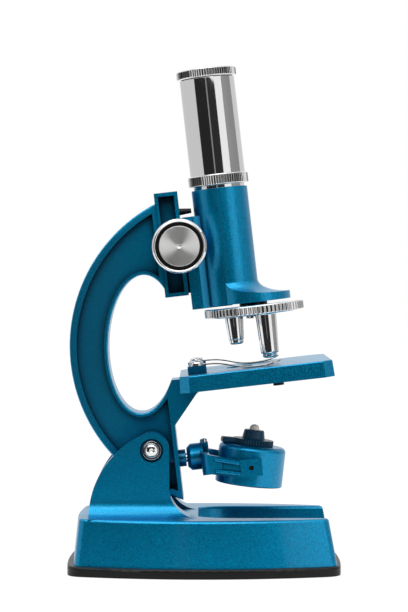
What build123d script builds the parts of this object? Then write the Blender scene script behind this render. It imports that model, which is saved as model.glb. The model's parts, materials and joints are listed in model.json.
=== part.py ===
from build123d import *
import os
from math import cos, pi, radians, sin, tan

# A student microscope with a tilting C-shaped arm, a rack-focused body tube, a turret of
# three objectives, a stage with two spring clips and a lamp drum that turns over to a mirror.
# World frame: +X is the front, -Y the side with the bolt head, +Z up, origin under the base plate.
os.makedirs("parts", exist_ok=True)

# Fits
RUNNING_FIT = 0.05
SEAT_FIT = 0.02
FACE_GAP = 0.02

# Base plate and base casting
PLATE_LENGTH = 116.6
PLATE_WIDTH = 78.0
PLATE_BOW = 9.0
END_BOW = 1.6
PLATE_THICKNESS = 4.0
PLATE_CORNER = 8.0
PLATE_EDGE = 1.2
PLATE_LIP = 2.5
BASE_HEIGHT = 19.5
BASE_DRAFT = 6.0
FRONT_DRAFT = 10.5
BASE_WALL = 2.4
BASE_ROOF = 2.5
BASE_CORNER = 4.0
BASE_EDGE = 1.5
LEG_WIDTH = 19.5
GAP_REAR_X = -5.5
GAP_FLAT = 1.0
TIP_SOLID = 18.0

# Ears that carry the arm
PIVOT_X = -22.1
PIVOT_HEIGHT = 51.6
EAR_TOP_RADIUS = 7.4
EAR_HEEL_X = -48.6
EAR_FOOT_RADIUS = 12.2
EAR_WIDTH = 40.0
EAR_FLARE = 7.0
EAR_SHOULDER_ANGLE = 127.0

# Pivot bolt through ears and arm
BOLT_RADIUS = 3.0
BOLT_HEAD_RADIUS = 4.15
BOLT_HEAD_HEIGHT = 1.1
BOLT_DOME_RADIUS = 2.85
BOLT_DOME_HEIGHT = 1.5
BOLT_DOME_RISE = 1.2
BOLT_RECESS_RADIUS = 5.0
BOLT_RECESS_DEPTH = 2.0
BOLT_THREAD_RADIUS = 2.0
NUT_SIDES = 6
WASHER_RADIUS = 6.8
WASHER_THICKNESS = 0.5

# Batteries and their cover
CELL_RADIUS = 7.25
CELL_LENGTH = 50.5
CELL_PITCH = 15.5
CELL_SETBACK = 32.1
CELL_NUB_RADIUS = 2.6
CELL_NUB_LENGTH = 1.0
CELL_LIFT = 0.2
CONTACT_THICKNESS = 0.4
CONTACT_HEIGHT = 11.0
CONTACT_PLAY = 0.1
CELL_RIB = 1.4
COVER_LEDGE = 1.5
COVER_THICKNESS = 2.4
COVER_RECESS = 0.3
COVER_PLAY = 0.2
COVER_TAB_WIDTH = 11.0
COVER_TAB_LENGTH = 8.4

# Screws in the underside
SCREW_RADIUS = 1.5
SCREW_LENGTH = 11.0
SCREW_HEAD_RADIUS = 2.9
SCREW_HEAD_HEIGHT = 1.4
BOSS_RADIUS = 3.5
SCREW_FRONT_X = 30.0
SCREW_LEG_INSET = 13.0
SCREW_SETBACK = 10.7
SCREW_REAR_Y = 19.5

# Arm: forward (f) and up (u) distances from the pivot, in the leaning frame of the arm
TILT = 6.5
ARM_WIDTH = 19.0
ARM_RADIUS = 68.6
ARM_CENTRE_F = 38.2
ARM_CENTRE_U = 39.5
OVAL_F = 0.95
OVAL_U = 44.6
OVAL_HALF_WIDTH = 14.75
OVAL_HALF_HEIGHT = 29.45
OVAL_LEAN = 8.0
RIM_OUTER = 3.0
RIM_INNER = 1.6
RIM_ROUND = 0.7
WEB_RECESS = 3.0
BAR_FRONT_F = 10.8
BAR_FLANGE = 1.8
PIVOT_BOSS_RADIUS = 7.0
BRACKET_TOP_U = 28.0
BRACKET_FOOT_U = 8.6
BRACKET_REACH_F = 22.2
LAMP_POCKET_F = 6.3
LAMP_POCKET_WIDTH = 5.4
LAMP_POCKET_BOTTOM_U = -18.2
LAMP_POCKET_DEPTH = 6.5
LAMP_POCKET_CORNER = 1.5

# Rack box at the top of the arm
BOX_REAR_F = 12.9
BOX_FRONT_F = 22.9
BOX_BOTTOM_U = 63.1
BOX_TOP_U = 107.6
BOX_WIDTH = 18.0
BOX_WALL = 1.6
BOX_RECESS = 5.0

# Focus drive
PINION_F = 21.4
PINION_U = 84.1
TOOTH_MODULE = 0.5
PINION_TEETH = 16
TOOTH_ROOT_SHARE = 1.25
PRESSURE_ANGLE = 20.0
PINION_WIDTH = 6.0
SHAFT_RADIUS = 1.3
SHAFT_ROOM = 0.3
TOOTH_PLAY = 0.2
RACK_WIDTH = 6.0
RACK_BOTTOM_U = 60.0
RACK_TOP_U = 88.2
BEARING_RADIUS = 6.0
BEARING_LENGTH = 4.0
BUSH_RADIUS = 3.0
KNOB_RADIUS = 11.5
KNOB_WIDTH = 10.5
KNOB_GAP = 0.6
KNOB_BEVEL = 0.6
KNOB_DISC_RADIUS = 8.6
KNOB_RING_RADIUS = 10.1
KNOB_FACE_DEPTH = 1.6
KNOB_DISC_THICKNESS = 1.4
KNOB_RING_THICKNESS = 0.8
STOP_PIN_U = 98.9
STOP_PIN_RADIUS = 1.5
STOP_PIN_TIP_RADIUS = 1.0
STOP_PIN_CLEARANCE = 0.15
STOP_PIN_SEAT = 4.0

# Slide between arm and body tube
SLIDE_REAR_F = 23.8
SLIDE_WIDTH = 17.4
SLIDE_SHOULDER_F = 28.6
SLIDE_FRONT_F = 33.4
SLIDE_FRONT_WIDTH = 12.6
SLIDE_BOTTOM_U = 56.7
SLIDE_TOP_U = 96.2
SLIDE_GROOVE_WIDTH = 6.8
RAIL_Y = 6.3
RAIL_STEM = 0.8
RAIL_FLANGE = 1.9
RAIL_STEM_LENGTH = 1.7
RAIL_FLANGE_THICKNESS = 1.4
RAIL_PLAY = 0.15
RAIL_BOTTOM_U = 64.0
RAIL_TOP_U = 96.0

# Body tube
OPTIC_F = 41.0
TUBE_RADIUS = 12.0
TUBE_BORE = 9.5
TUBE_TOP_U = 106.9
FLANGE_RADIUS = 16.2
FLANGE_BOTTOM_U = 57.1
FLANGE_THICKNESS = 3.2
FLARE_REACH = 14.0
FLARE_HEIGHT = 6.5
TUBE_FLOOR = 5.0
LIGHT_HOLE = 3.6

# Turret and objectives
TURRET_F = 50.0
TURRET_RADIUS = 21.4
TURRET_THICKNESS = 4.2
TURRET_GAP = 1.2
TURRET_WASHER_RADIUS = 6.0
TURRET_SCREW_RADIUS = 2.0
TURRET_SCREW_HEAD_RADIUS = 3.8
TURRET_SCREW_HEAD_HEIGHT = 1.8
TURRET_SCREW_THREAD = 3.6
OBJECTIVE_NECK_RADIUS = 3.0
OBJECTIVE_BORE = 1.9
OBJECTIVE_RIM = 0.5
OBJECTIVE_TAPER = 0.7
OBJECTIVE_LENS_THICKNESS = 1.2
SHORT_RADIUS = 4.1
SHORT_TIP_U = 39.7
SHORT_ANGLE = 180.0
LONG_ANGLE = 300.0
MEDIUM_ANGLE = 60.0
SHORT_NOSE_RADIUS = 3.1
MEDIUM_RADIUS = 4.3
MEDIUM_TIP_U = 36.2
MEDIUM_NOSE_RADIUS = 3.2
LONG_RADIUS = 4.6
LONG_TIP_U = 32.8
LONG_NOSE_RADIUS = 3.2
NOSE_LENGTH = 2.0

# Eyepiece
COLLAR_RADIUS = 12.85
COLLAR_HEIGHT = 4.6
NECK_HEIGHT = 1.4
NECK_RADIUS = 11.0
SPIGOT_LENGTH = 9.0
BARREL_RADIUS = 11.8
BARREL_LENGTH = 41.2
BARREL_WALL = 0.8
DRAW_WALL = 0.8
DRAW_LENGTH = 36.0
CAP_RADIUS = 12.8
CAP_HEIGHT = 3.8
CAP_GAP = 0.3
CAP_EYE_RADIUS = 6.0
CAP_CUP_DEPTH = 1.2
EYE_LENS_THICKNESS = 3.0
EYE_LENS_DOME = 1.0
FIELD_LENS_THICKNESS = 2.6
FIELD_LENS_DOME = 0.9
LENS_RING_HEIGHT = 2.0
LENS_RING_WALL = 1.4

# Stage
STAGE_REAR_F = 14.9
STAGE_LENGTH = 64.8
STAGE_WIDTH = 66.0
STAGE_TOP_U = 30.0
STAGE_HEIGHT = 6.9
STAGE_DRAFT = 3.0
STAGE_CORNER = 4.0
STAGE_WALL = 2.0
STAGE_PLATE = 2.5
STAGE_EDGE = 0.6
STAGE_HOLE_RADIUS = 6.0
STAGE_SCREW_F = 19.4
STAGE_SCREW_Y = 5.5
STAGE_SCREW_SHANK = 5.4
BRACKET_SEAT = 1.2
STAGE_BOSS_RADIUS = 3.0
CLIP_BLOCK_F = 22.9
CLIP_BLOCK_LENGTH = 7.8
CLIP_BLOCK_WIDTH = 7.0
CLIP_BLOCK_HEIGHT = 3.3
CLIP_Y = 18.0
CLIP_THICKNESS = 0.5
CLIP_HEEL_RADIUS = 3.4
CLIP_WAIST = 5.0
CLIP_PADDLE_RADIUS = 4.5
CLIP_PADDLE_F = 54.5
CLIP_TOUCH_F = 48.0
CLIP_CURL = 1.9
CLIP_SCREW_RADIUS = 1.4
CLIP_HEAD_RADIUS = 2.9
CLIP_HEAD_HEIGHT = 1.7
CLIP_SCREW_DEPTH = 4.5

# Aperture disc under the stage
APERTURE_F = 56.9
APERTURE_RADIUS = 19.6
APERTURE_THICKNESS = 0.8
APERTURE_GAP = 0.4
APERTURE_HOLES = (1.0, 1.6, 2.3, 2.9)
RIVET_RADIUS = 1.2
RIVET_HEAD_RADIUS = 2.35
RIVET_HEAD_BOTTOM_U = 20.2
RIVET_SEAT = 2.0

# Lamp bearing, shaft and fork
LAMP_U = -6.3
LAMP_BOSS_RADIUS = 3.5
LAMP_STUB_RADIUS = 3.7
LAMP_STUB_END_F = 13.7
LAMP_BORE_START_F = 3.0
LAMP_SHAFT_RADIUS = 2.0
HUB_RADIUS = 5.75
HUB_START_F = 14.3
HUB_END_F = 21.3
HUB_ROUND = 1.6
LUG_START_F = 20.2
LUG_END_F = 23.8
LUG_WIDTH = 5.0
LUG_TOP_U = -0.5
LUG_BOTTOM_U = -14.6
CLAMP_RADIUS = 1.1
CLAMP_HEAD_RADIUS = 1.6
CLAMP_HEAD_HEIGHT = 1.6
FORK_ARM_THICKNESS = 2.0
FORK_ARM_GAP = 0.5
FORK_REAR_U = -8.0
FORK_REAR_HEIGHT = 8.6
FORK_FRONT_HEIGHT = 7.2
FORK_END_REACH = 4.6
FORK_BEND = 5.0
FORK_GROOVE = 0.5
FORK_GROOVE_SHARE = 0.36

# Lamp drum, its cap, the bulb and the mirror
DRUM_F = 41.0
DRUM_U = -12.3
DRUM_LEAN = 6.3
DRUM_RADIUS = 14.4
DRUM_HEIGHT = 17.0
DRUM_WALL = 1.6
DRUM_ROOF = 2.0
DRUM_ROUND = 2.2
DRUM_RIM_ROUND = 0.6
MIRROR_THICKNESS = 1.5
MIRROR_INSET = 1.0
MIRROR_LEDGE = 1.0
MIRROR_RING_HEIGHT = 0.9
MIRROR_RING_WALL = 1.2
PIN_RADIUS = 1.0
PIN_RECESS = 0.9
PIN_BOSS_RADIUS = 3.0
PIN_BOSS_LENGTH = 4.0
LAMP_CAP_RADIUS = 8.8
LAMP_CAP_THICKNESS = 2.5
LAMP_CAP_PLUG = 2.0
LAMP_CAP_PLUG_RADIUS = 8.0
TAB_REACH = 14.0
TAB_LENGTH = 6.5
TAB_WIDTH = 5.0
TAB_ANGLE = 195.0
CONE_RADIUS = 4.9
CONE_TOP_RADIUS = 4.3
CONE_HEIGHT = 3.9
BULB_RADIUS = 2.1
BULB_RISE = 2.4
BULB_LENGTH = 11.5
BULB_ROOM = 0.3
SOCKET_RADIUS = 3.4
SOCKET_BASE_THICKNESS = 1.2

# Places that follow from the sizes above
BASE_TOP = PLATE_THICKNESS + BASE_HEIGHT
GAP_WIDTH = PLATE_WIDTH - 2 * LEG_WIDTH
GAP_CORNER = (GAP_WIDTH - GAP_FLAT) / 2
CELL_CENTRE_X = CELL_SETBACK - PLATE_LENGTH / 2
SCREW_FRONT_Y = PLATE_WIDTH / 2 - SCREW_LEG_INSET
SCREW_REAR_X = SCREW_SETBACK - PLATE_LENGTH / 2
FORWARD = Vector(cos(radians(TILT)), 0, sin(radians(TILT)))
UPWARD = Vector(-sin(radians(TILT)), 0, cos(radians(TILT)))
PIVOT = Vector(PIVOT_X, 0, PIVOT_HEIGHT)
ARM_SIDE = Plane(origin=PIVOT, x_dir=FORWARD, z_dir=(0, -1, 0))
EAR_INNER = ARM_WIDTH / 2 + WASHER_THICKNESS + 2 * FACE_GAP
EAR_OUTER = EAR_WIDTH / 2
PINION_PITCH_RADIUS = TOOTH_MODULE * PINION_TEETH / 2
RACK_PITCH_F = PINION_F + PINION_PITCH_RADIUS
TURRET_TOP_U = FLANGE_BOTTOM_U - TURRET_GAP
TURRET_BOTTOM_U = TURRET_TOP_U - TURRET_THICKNESS
OBJECTIVE_PITCH = TURRET_F - OPTIC_F
STAGE_BOTTOM_U = STAGE_TOP_U - STAGE_HEIGHT
STAGE_ROOF_U = STAGE_TOP_U - STAGE_PLATE
STAGE_CENTRE_F = STAGE_REAR_F + STAGE_LENGTH / 2
COLLAR_BOTTOM_U = TUBE_TOP_U + NECK_HEIGHT
BARREL_BOTTOM_U = COLLAR_BOTTOM_U + COLLAR_HEIGHT
BARREL_TOP_U = BARREL_BOTTOM_U + BARREL_LENGTH
BARREL_BORE = BARREL_RADIUS - BARREL_WALL
DRAW_RADIUS = BARREL_BORE - RUNNING_FIT
CAP_BOTTOM_U = BARREL_TOP_U + CAP_GAP
FORK_INNER = DRUM_RADIUS + FORK_ARM_GAP
FORK_OUTER = FORK_INNER + FORK_ARM_THICKNESS
BEARING_END = BOX_WIDTH / 2 + BEARING_LENGTH
KNOB_START = BEARING_END + KNOB_GAP
STOP_PIN_LENGTH = OPTIC_F - COLLAR_RADIUS - STOP_PIN_CLEARANCE - BOX_FRONT_F
SCREW_HEAD_TOP = COVER_RECESS + SCREW_HEAD_HEIGHT


def arm_point(f, u):
    """World place of a point in the middle plane of the arm."""
    return PIVOT + FORWARD * f + UPWARD * u


def level(f, u):
    """Plane square to the optical axis; its x runs forward and its y to the far side."""
    return Plane(origin=arm_point(f, u), x_dir=FORWARD, z_dir=UPWARD)


def across(f, u, y):
    """Plane across the arm at distance y from the middle, facing the far side."""
    return Plane(origin=arm_point(f, u) + Vector(0, y, 0), x_dir=UPWARD, z_dir=(0, 1, 0))


def ahead(f, u):
    """Plane facing forward along the lamp shaft; its x runs to the far side."""
    return Plane(origin=arm_point(f, u), x_dir=(0, 1, 0), z_dir=FORWARD)


def stage_screw_plane(side, u):
    """Plane at one of the two screws that hold the stage."""
    place = arm_point(STAGE_SCREW_F, u) + Vector(0, side * STAGE_SCREW_Y, 0)
    return Plane(place, x_dir=FORWARD, z_dir=UPWARD)


def round_bar(plane, radius, length, mode=Mode.ADD):
    """Round bar standing on a plane, in the part being built."""
    with BuildSketch(plane) as circle:
        Circle(radius)
    extrude(circle.sketch, amount=length, mode=mode)


def square_bar(plane, width, depth, length, mode=Mode.ADD):
    """Rectangular bar standing on a plane, in the part being built."""
    with BuildSketch(plane) as rectangle:
        Rectangle(width, depth)
    extrude(rectangle.sketch, amount=length, mode=mode)


def turned(plane, outline, mode=Mode.ADD):
    """Turned solid; the outline's points are radius and height above a plane."""
    section = Plane(plane.origin, x_dir=plane.x_dir, z_dir=-plane.y_dir)
    with BuildSketch(section) as profile:
        with BuildLine():
            Polyline(*outline, close=True)
        make_face()
    revolve(profile.sketch, axis=Axis(plane.origin, plane.z_dir), mode=mode)


def tube_outline(outer, inner, length):
    """Section of a plain tube for turning."""
    return [(inner, 0), (outer, 0), (outer, length), (inner, length)]


def lens(plane, radius, thickness, dome, mode=Mode.ADD):
    """Lens with a flat rear face on a plane and a domed front face."""
    section = Plane(plane.origin, x_dir=plane.x_dir, z_dir=-plane.y_dir)
    edge = thickness - dome
    arc_radius = (radius**2 + dome**2) / (2 * dome)
    middle = (radius / 2, edge - arc_radius + dome + (arc_radius**2 - radius**2 / 4) ** 0.5)
    with BuildSketch(section) as profile:
        with BuildLine():
            Polyline((0, thickness), (0, 0), (radius, 0), (radius, edge))
            ThreePointArc((radius, edge), middle, (0, thickness))
        make_face()
    revolve(profile.sketch, axis=Axis(plane.origin, plane.z_dir), mode=mode)


def gap_plan(plane, growth):
    """Plan of the gap between the front legs of the base, running out past the front."""
    gap_rear = GAP_REAR_X - growth
    gap_length = PLATE_LENGTH - 2 * gap_rear
    with BuildSketch(plane) as gap:
        with Locations((gap_rear + gap_length / 2, 0)):
            RectangleRounded(gap_length, GAP_WIDTH + 2 * growth, GAP_CORNER)
    return gap.sketch.face()


def base_plan(plane, inset, corner, gap_growth=None, front_cut=0, front_lean=0):
    """Plan of the base: bowed sides and ends; the casting has straight tips beside the gap."""
    rear_x = inset - PLATE_LENGTH / 2
    front_x = PLATE_LENGTH / 2 - inset - front_lean
    half_width = PLATE_WIDTH / 2 - inset
    half_end = half_width - PLATE_BOW
    rear_corner_x = rear_x + END_BOW
    front_corner_x = front_x - END_BOW if gap_growth is None else front_x
    with BuildSketch(plane) as plan:
        with BuildLine():
            ThreePointArc((rear_corner_x, -half_end), (0, -half_width), (front_corner_x, -half_end))
            if gap_growth is None:
                ThreePointArc((front_corner_x, -half_end), (front_x, 0), (front_corner_x, half_end))
            else:
                Line((front_x, -half_end), (front_x, half_end))
            ThreePointArc((front_corner_x, half_end), (0, half_width), (rear_corner_x, half_end))
            ThreePointArc((rear_corner_x, half_end), (rear_x, 0), (rear_corner_x, -half_end))
        make_face()
        fillet(plan.vertices(), corner)
        if gap_growth is not None:
            add(gap_plan(Plane.XY, gap_growth), mode=Mode.SUBTRACT)
        if front_cut:
            with Locations((PLATE_LENGTH / 2, 0)):
                Rectangle(2 * front_cut, PLATE_WIDTH, mode=Mode.SUBTRACT)
    return plan.sketch.face()


def drafted_base(inset, height, gap_growth=0, front_cut=0, mode=Mode.ADD):
    """Drafted block on the plate that follows the base plan; its front leans in more than its sides."""
    draft = height * tan(radians(BASE_DRAFT))
    front_lean = height * tan(radians(FRONT_DRAFT)) - draft
    floor = Plane.XY.offset(PLATE_THICKNESS)
    roof = floor.offset(height)
    sections = [
        base_plan(floor, inset, BASE_CORNER, gap_growth, front_cut),
        base_plan(roof, inset + draft, BASE_CORNER, gap_growth + draft, front_cut, front_lean),
    ]
    loft(sections, ruled=True, mode=mode)


def ear_side(plane):
    """Side view of an ear: arched rear edge, round top at the pivot and a swept foot."""
    shoulder = radians(EAR_SHOULDER_ANGLE)
    top = (PIVOT_X + EAR_TOP_RADIUS * cos(shoulder), PIVOT_HEIGHT + EAR_TOP_RADIUS * sin(shoulder))
    crown = (PIVOT_X + EAR_TOP_RADIUS * cos(shoulder / 2), PIVOT_HEIGHT + EAR_TOP_RADIUS * sin(shoulder / 2))
    front_x = PIVOT_X + EAR_TOP_RADIUS
    foot_z = BASE_TOP + EAR_FOOT_RADIUS
    root_z = BASE_TOP - BASE_ROOF
    with BuildSketch(plane) as ear:
        with BuildLine():
            TangentArc((EAR_HEEL_X, BASE_TOP), top, tangent=(0, 1))
            ThreePointArc(top, crown, (front_x, PIVOT_HEIGHT))
            Line((front_x, PIVOT_HEIGHT), (front_x, foot_z))
            TangentArc((front_x, foot_z), (front_x + EAR_FOOT_RADIUS, BASE_TOP), tangent=(0, -1))
            Polyline(
                (front_x + EAR_FOOT_RADIUS, BASE_TOP),
                (front_x + EAR_FOOT_RADIUS, root_z),
                (EAR_HEEL_X, root_z),
                (EAR_HEEL_X, BASE_TOP),
            )
        make_face()
    return ear.sketch


# Base casting: drafted hollow foot with the front gap, two ears, screw bosses and cell ribs
cell_rib_y = CELL_LENGTH / 2 + CONTACT_PLAY + CONTACT_THICKNESS
cell_box_length = CELL_PITCH + 2 * CELL_RADIUS
cover_rear_x = CELL_CENTRE_X - cell_box_length / 2 - COVER_LEDGE
tab_screw_x = cover_rear_x - COVER_TAB_LENGTH / 2
screw_places = [(tab_screw_x, 0)]
for side in (-1, 1):
    screw_places.append((SCREW_FRONT_X, side * SCREW_FRONT_Y))
    screw_places.append((SCREW_REAR_X, side * SCREW_REAR_Y))
hollow_height = BASE_HEIGHT - BASE_ROOF

with BuildPart() as ear_flare:
    with BuildSketch(Plane.YZ.offset(EAR_HEEL_X)):
        with BuildLine():
            Polyline(
                (EAR_OUTER, BASE_TOP + EAR_FLARE),
                (-EAR_OUTER, BASE_TOP + EAR_FLARE),
            )
            TangentArc(
                (-EAR_OUTER, BASE_TOP + EAR_FLARE), (-EAR_OUTER - EAR_FLARE, BASE_TOP), tangent=(0, -1)
            )
            Polyline(
                (-EAR_OUTER - EAR_FLARE, BASE_TOP),
                (-EAR_OUTER - EAR_FLARE, BASE_TOP - BASE_ROOF),
                (EAR_OUTER + EAR_FLARE, BASE_TOP - BASE_ROOF),
                (EAR_OUTER + EAR_FLARE, BASE_TOP),
            )
            TangentArc(
                (EAR_OUTER + EAR_FLARE, BASE_TOP), (EAR_OUTER, BASE_TOP + EAR_FLARE), tangent=(-1, 0)
            )
        make_face()
    extrude(amount=PIVOT_X + EAR_TOP_RADIUS + EAR_FOOT_RADIUS - EAR_HEEL_X)
    extrude(ear_side(Plane.XZ), amount=EAR_OUTER + EAR_FLARE, both=True, mode=Mode.INTERSECT)

with BuildPart() as base_casting:
    drafted_base(PLATE_LIP, BASE_HEIGHT)
    fillet(base_casting.faces().sort_by(Axis.Z)[-1].edges(), BASE_EDGE)
    drafted_base(PLATE_LIP + BASE_WALL, hollow_height, BASE_WALL, TIP_SOLID, Mode.SUBTRACT)
    extrude(ear_side(Plane.XZ), amount=EAR_OUTER, both=True)
    add(ear_flare.part)
    square_bar(
        Plane(origin=(EAR_HEEL_X, 0, BASE_TOP), x_dir=(0, 1, 0), z_dir=(0, 0, 1)),
        2 * EAR_INNER,
        PLATE_LENGTH,
        PIVOT_HEIGHT,
        mode=Mode.SUBTRACT,
    )
    for x, y in screw_places:
        round_bar(Plane(origin=(x, y, PLATE_THICKNESS)), BOSS_RADIUS, hollow_height)
        round_bar(Plane(origin=(x, y, PLATE_THICKNESS)), SCREW_RADIUS + SEAT_FIT, SCREW_LENGTH, Mode.SUBTRACT)
    cell_room = Plane(origin=(CELL_CENTRE_X, 0, PLATE_THICKNESS))
    square_bar(cell_room, cell_box_length, 2 * cell_rib_y, hollow_height, Mode.SUBTRACT)
    for side in (-1, 1):
        rib_place = (CELL_CENTRE_X, side * (cell_rib_y + CELL_RIB / 2), PLATE_THICKNESS)
        square_bar(Plane(origin=rib_place), cell_box_length, CELL_RIB, hollow_height)
        recess = EAR_OUTER - BOLT_RECESS_DEPTH
        recess_plane = Plane(origin=(PIVOT_X, side * recess, PIVOT_HEIGHT), z_dir=(0, side, 0))
        round_bar(recess_plane, BOLT_RECESS_RADIUS, BOLT_RECESS_DEPTH, Mode.SUBTRACT)
    round_bar(across(0, 0, -EAR_OUTER), BOLT_RADIUS + SEAT_FIT, EAR_WIDTH, Mode.SUBTRACT)
base_casting.part.label = "base_casting"
export_step(base_casting.part, "parts/base_casting.step")

# Base plate: full bowed plate with the cover's pocket and five countersunk screw places
with BuildPart() as base_plate:
    extrude(base_plan(Plane.XY, 0, PLATE_CORNER), amount=PLATE_THICKNESS)
    fillet(base_plate.faces().sort_by(Axis.Z)[-1].edges(), PLATE_EDGE)
    pocket_length = cell_box_length + 2 * COVER_LEDGE
    pocket_width = 2 * (cell_rib_y + COVER_LEDGE)
    pocket_depth = COVER_RECESS + COVER_THICKNESS
    square_bar(
        Plane(origin=(CELL_CENTRE_X, 0, 0)), cell_box_length, 2 * cell_rib_y, PLATE_THICKNESS, Mode.SUBTRACT
    )
    with BuildSketch() as pocket:
        with Locations((CELL_CENTRE_X, 0)):
            Rectangle(pocket_length + COVER_PLAY, pocket_width + COVER_PLAY)
        with Locations((tab_screw_x, 0)):
            Rectangle(COVER_TAB_LENGTH + COVER_PLAY, COVER_TAB_WIDTH + COVER_PLAY)
    extrude(pocket.sketch, amount=pocket_depth, mode=Mode.SUBTRACT)
    for x, y in screw_places:
        round_bar(Plane(origin=(x, y, 0)), SCREW_RADIUS + SEAT_FIT, PLATE_THICKNESS, Mode.SUBTRACT)
        round_bar(Plane(origin=(x, y, 0)), SCREW_HEAD_RADIUS + RUNNING_FIT, SCREW_HEAD_TOP, Mode.SUBTRACT)
base_plate.part.label = "base_plate"
export_step(base_plate.part, "parts/base_plate.step")

with BuildPart() as battery_cover:
    with BuildSketch(Plane.XY.offset(COVER_RECESS)) as panel:
        with Locations((CELL_CENTRE_X, 0)):
            Rectangle(pocket_length, pocket_width)
        with Locations((tab_screw_x, 0)):
            Rectangle(COVER_TAB_LENGTH, COVER_TAB_WIDTH)
    extrude(panel.sketch, amount=COVER_THICKNESS)
    square_bar(
        Plane(origin=(CELL_CENTRE_X, 0, pocket_depth)),
        cell_box_length - COVER_PLAY,
        2 * cell_rib_y - COVER_PLAY,
        PLATE_THICKNESS - pocket_depth,
    )
    tab_place = Plane(origin=(tab_screw_x, 0, COVER_RECESS))
    round_bar(tab_place, SCREW_RADIUS + SEAT_FIT, COVER_THICKNESS, Mode.SUBTRACT)
    round_bar(tab_place, SCREW_HEAD_RADIUS + RUNNING_FIT, SCREW_HEAD_HEIGHT, Mode.SUBTRACT)
battery_cover.part.label = "battery_cover"
export_step(battery_cover.part, "parts/battery_cover.step")

with BuildPart() as base_screws:
    for x, y in screw_places:
        round_bar(Plane(origin=(x, y, COVER_RECESS)), SCREW_HEAD_RADIUS, SCREW_HEAD_HEIGHT)
        round_bar(Plane(origin=(x, y, SCREW_HEAD_TOP)), SCREW_RADIUS, SCREW_LENGTH)
base_screws.part.label = "base_screws"
export_step(base_screws.part, "parts/base_screws.step")

cell_z = PLATE_THICKNESS + CELL_LIFT + CELL_RADIUS
with BuildPart() as battery_cells:
    for side in (-1, 1):
        cell_x = CELL_CENTRE_X + side * CELL_PITCH / 2
        shoulder = CELL_LENGTH - CELL_NUB_LENGTH
        cell_plane = Plane(origin=(cell_x, -side * CELL_LENGTH / 2, cell_z), z_dir=(0, side, 0))
        cell_outline = [
            (0, 0),
            (CELL_RADIUS, 0),
            (CELL_RADIUS, shoulder),
            (CELL_NUB_RADIUS, shoulder),
            (CELL_NUB_RADIUS, CELL_LENGTH),
            (0, CELL_LENGTH),
        ]
        turned(cell_plane, cell_outline)
battery_cells.part.label = "battery_cells"
export_step(battery_cells.part, "parts/battery_cells.step")

with BuildPart() as battery_contacts:
    for side in (-1, 1):
        contact_y = side * (cell_rib_y - CONTACT_THICKNESS / 2)
        contact_plane = Plane(origin=(CELL_CENTRE_X, contact_y, cell_z - CONTACT_HEIGHT / 2))
        square_bar(contact_plane, cell_box_length - 2 * COVER_LEDGE, CONTACT_THICKNESS, CONTACT_HEIGHT)
battery_contacts.part.label = "battery_contacts"
export_step(battery_contacts.part, "parts/battery_contacts.step")

# Pivot bolt with a domed head on the near ear, its nut on the far ear and the two washers
recess_floor = EAR_OUTER - BOLT_RECESS_DEPTH
near_recess = Plane(origin=(PIVOT_X, -recess_floor, PIVOT_HEIGHT), z_dir=(0, -1, 0))
far_recess = Plane(origin=(PIVOT_X, recess_floor, PIVOT_HEIGHT), z_dir=(0, 1, 0))
with BuildPart() as pivot_bolt:
    round_bar(near_recess, BOLT_RADIUS, -2 * recess_floor)
    round_bar(far_recess, BOLT_THREAD_RADIUS, BOLT_RECESS_DEPTH)
    round_bar(near_recess, BOLT_HEAD_RADIUS, BOLT_HEAD_HEIGHT)
    lens(near_recess.offset(BOLT_HEAD_HEIGHT), BOLT_DOME_RADIUS, BOLT_DOME_HEIGHT, BOLT_DOME_RISE)
pivot_bolt.part.label = "pivot_bolt"
export_step(pivot_bolt.part, "parts/pivot_bolt.step")

with BuildPart() as pivot_nut:
    with BuildSketch(far_recess) as hexagon:
        RegularPolygon(BOLT_HEAD_RADIUS, NUT_SIDES)
        Circle(BOLT_THREAD_RADIUS + SEAT_FIT, mode=Mode.SUBTRACT)
    extrude(hexagon.sketch, amount=BOLT_RECESS_DEPTH)
pivot_nut.part.label = "pivot_nut"
export_step(pivot_nut.part, "parts/pivot_nut.step")

with BuildPart() as pivot_washers:
    for side in (-1, 1):
        washer_y = side * (ARM_WIDTH / 2 + FACE_GAP)
        washer_plane = Plane(origin=(PIVOT_X, washer_y, PIVOT_HEIGHT), z_dir=(0, side, 0))
        turned(washer_plane, tube_outline(WASHER_RADIUS, BOLT_RADIUS + SEAT_FIT, WASHER_THICKNESS))
pivot_washers.part.label = "pivot_washers"
export_step(pivot_washers.part, "parts/pivot_washers.step")


# Arm casting: C-shaped web with rims, rack box, stage bracket, pivot boss and lamp boss
def arm_side(plane, rim_outer, rim_inner, bar_front, box_rear):
    """Side view of the C arm, drawn in from its outer circle, its oval, its bar and its box."""
    far_out = 2 * ARM_RADIUS
    with BuildSketch(plane) as arm:
        with Locations((ARM_CENTRE_F, ARM_CENTRE_U)):
            Circle(ARM_RADIUS - rim_outer)
        with BuildLine():
            Polyline(
                (-far_out, -far_out),
                (bar_front, -far_out),
                (bar_front, OVAL_U),
                (box_rear, OVAL_U),
                (box_rear, far_out),
                (-far_out, far_out),
                close=True,
            )
        make_face(mode=Mode.INTERSECT)
        with Locations((OVAL_F, OVAL_U)):
            half_width = OVAL_HALF_WIDTH + rim_inner
            half_height = OVAL_HALF_HEIGHT + rim_inner
            Ellipse(half_width, half_height, rotation=-OVAL_LEAN, mode=Mode.SUBTRACT)
        if rim_outer:
            Circle(PIVOT_BOSS_RADIUS, mode=Mode.SUBTRACT)
    return arm.sketch


box_height = BOX_TOP_U - BOX_BOTTOM_U
box_depth = BOX_FRONT_F - BOX_REAR_F
box_centre_f = (BOX_FRONT_F + BOX_REAR_F) / 2
pinion_room = PINION_PITCH_RADIUS + TOOTH_MODULE + SHAFT_ROOM

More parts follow.
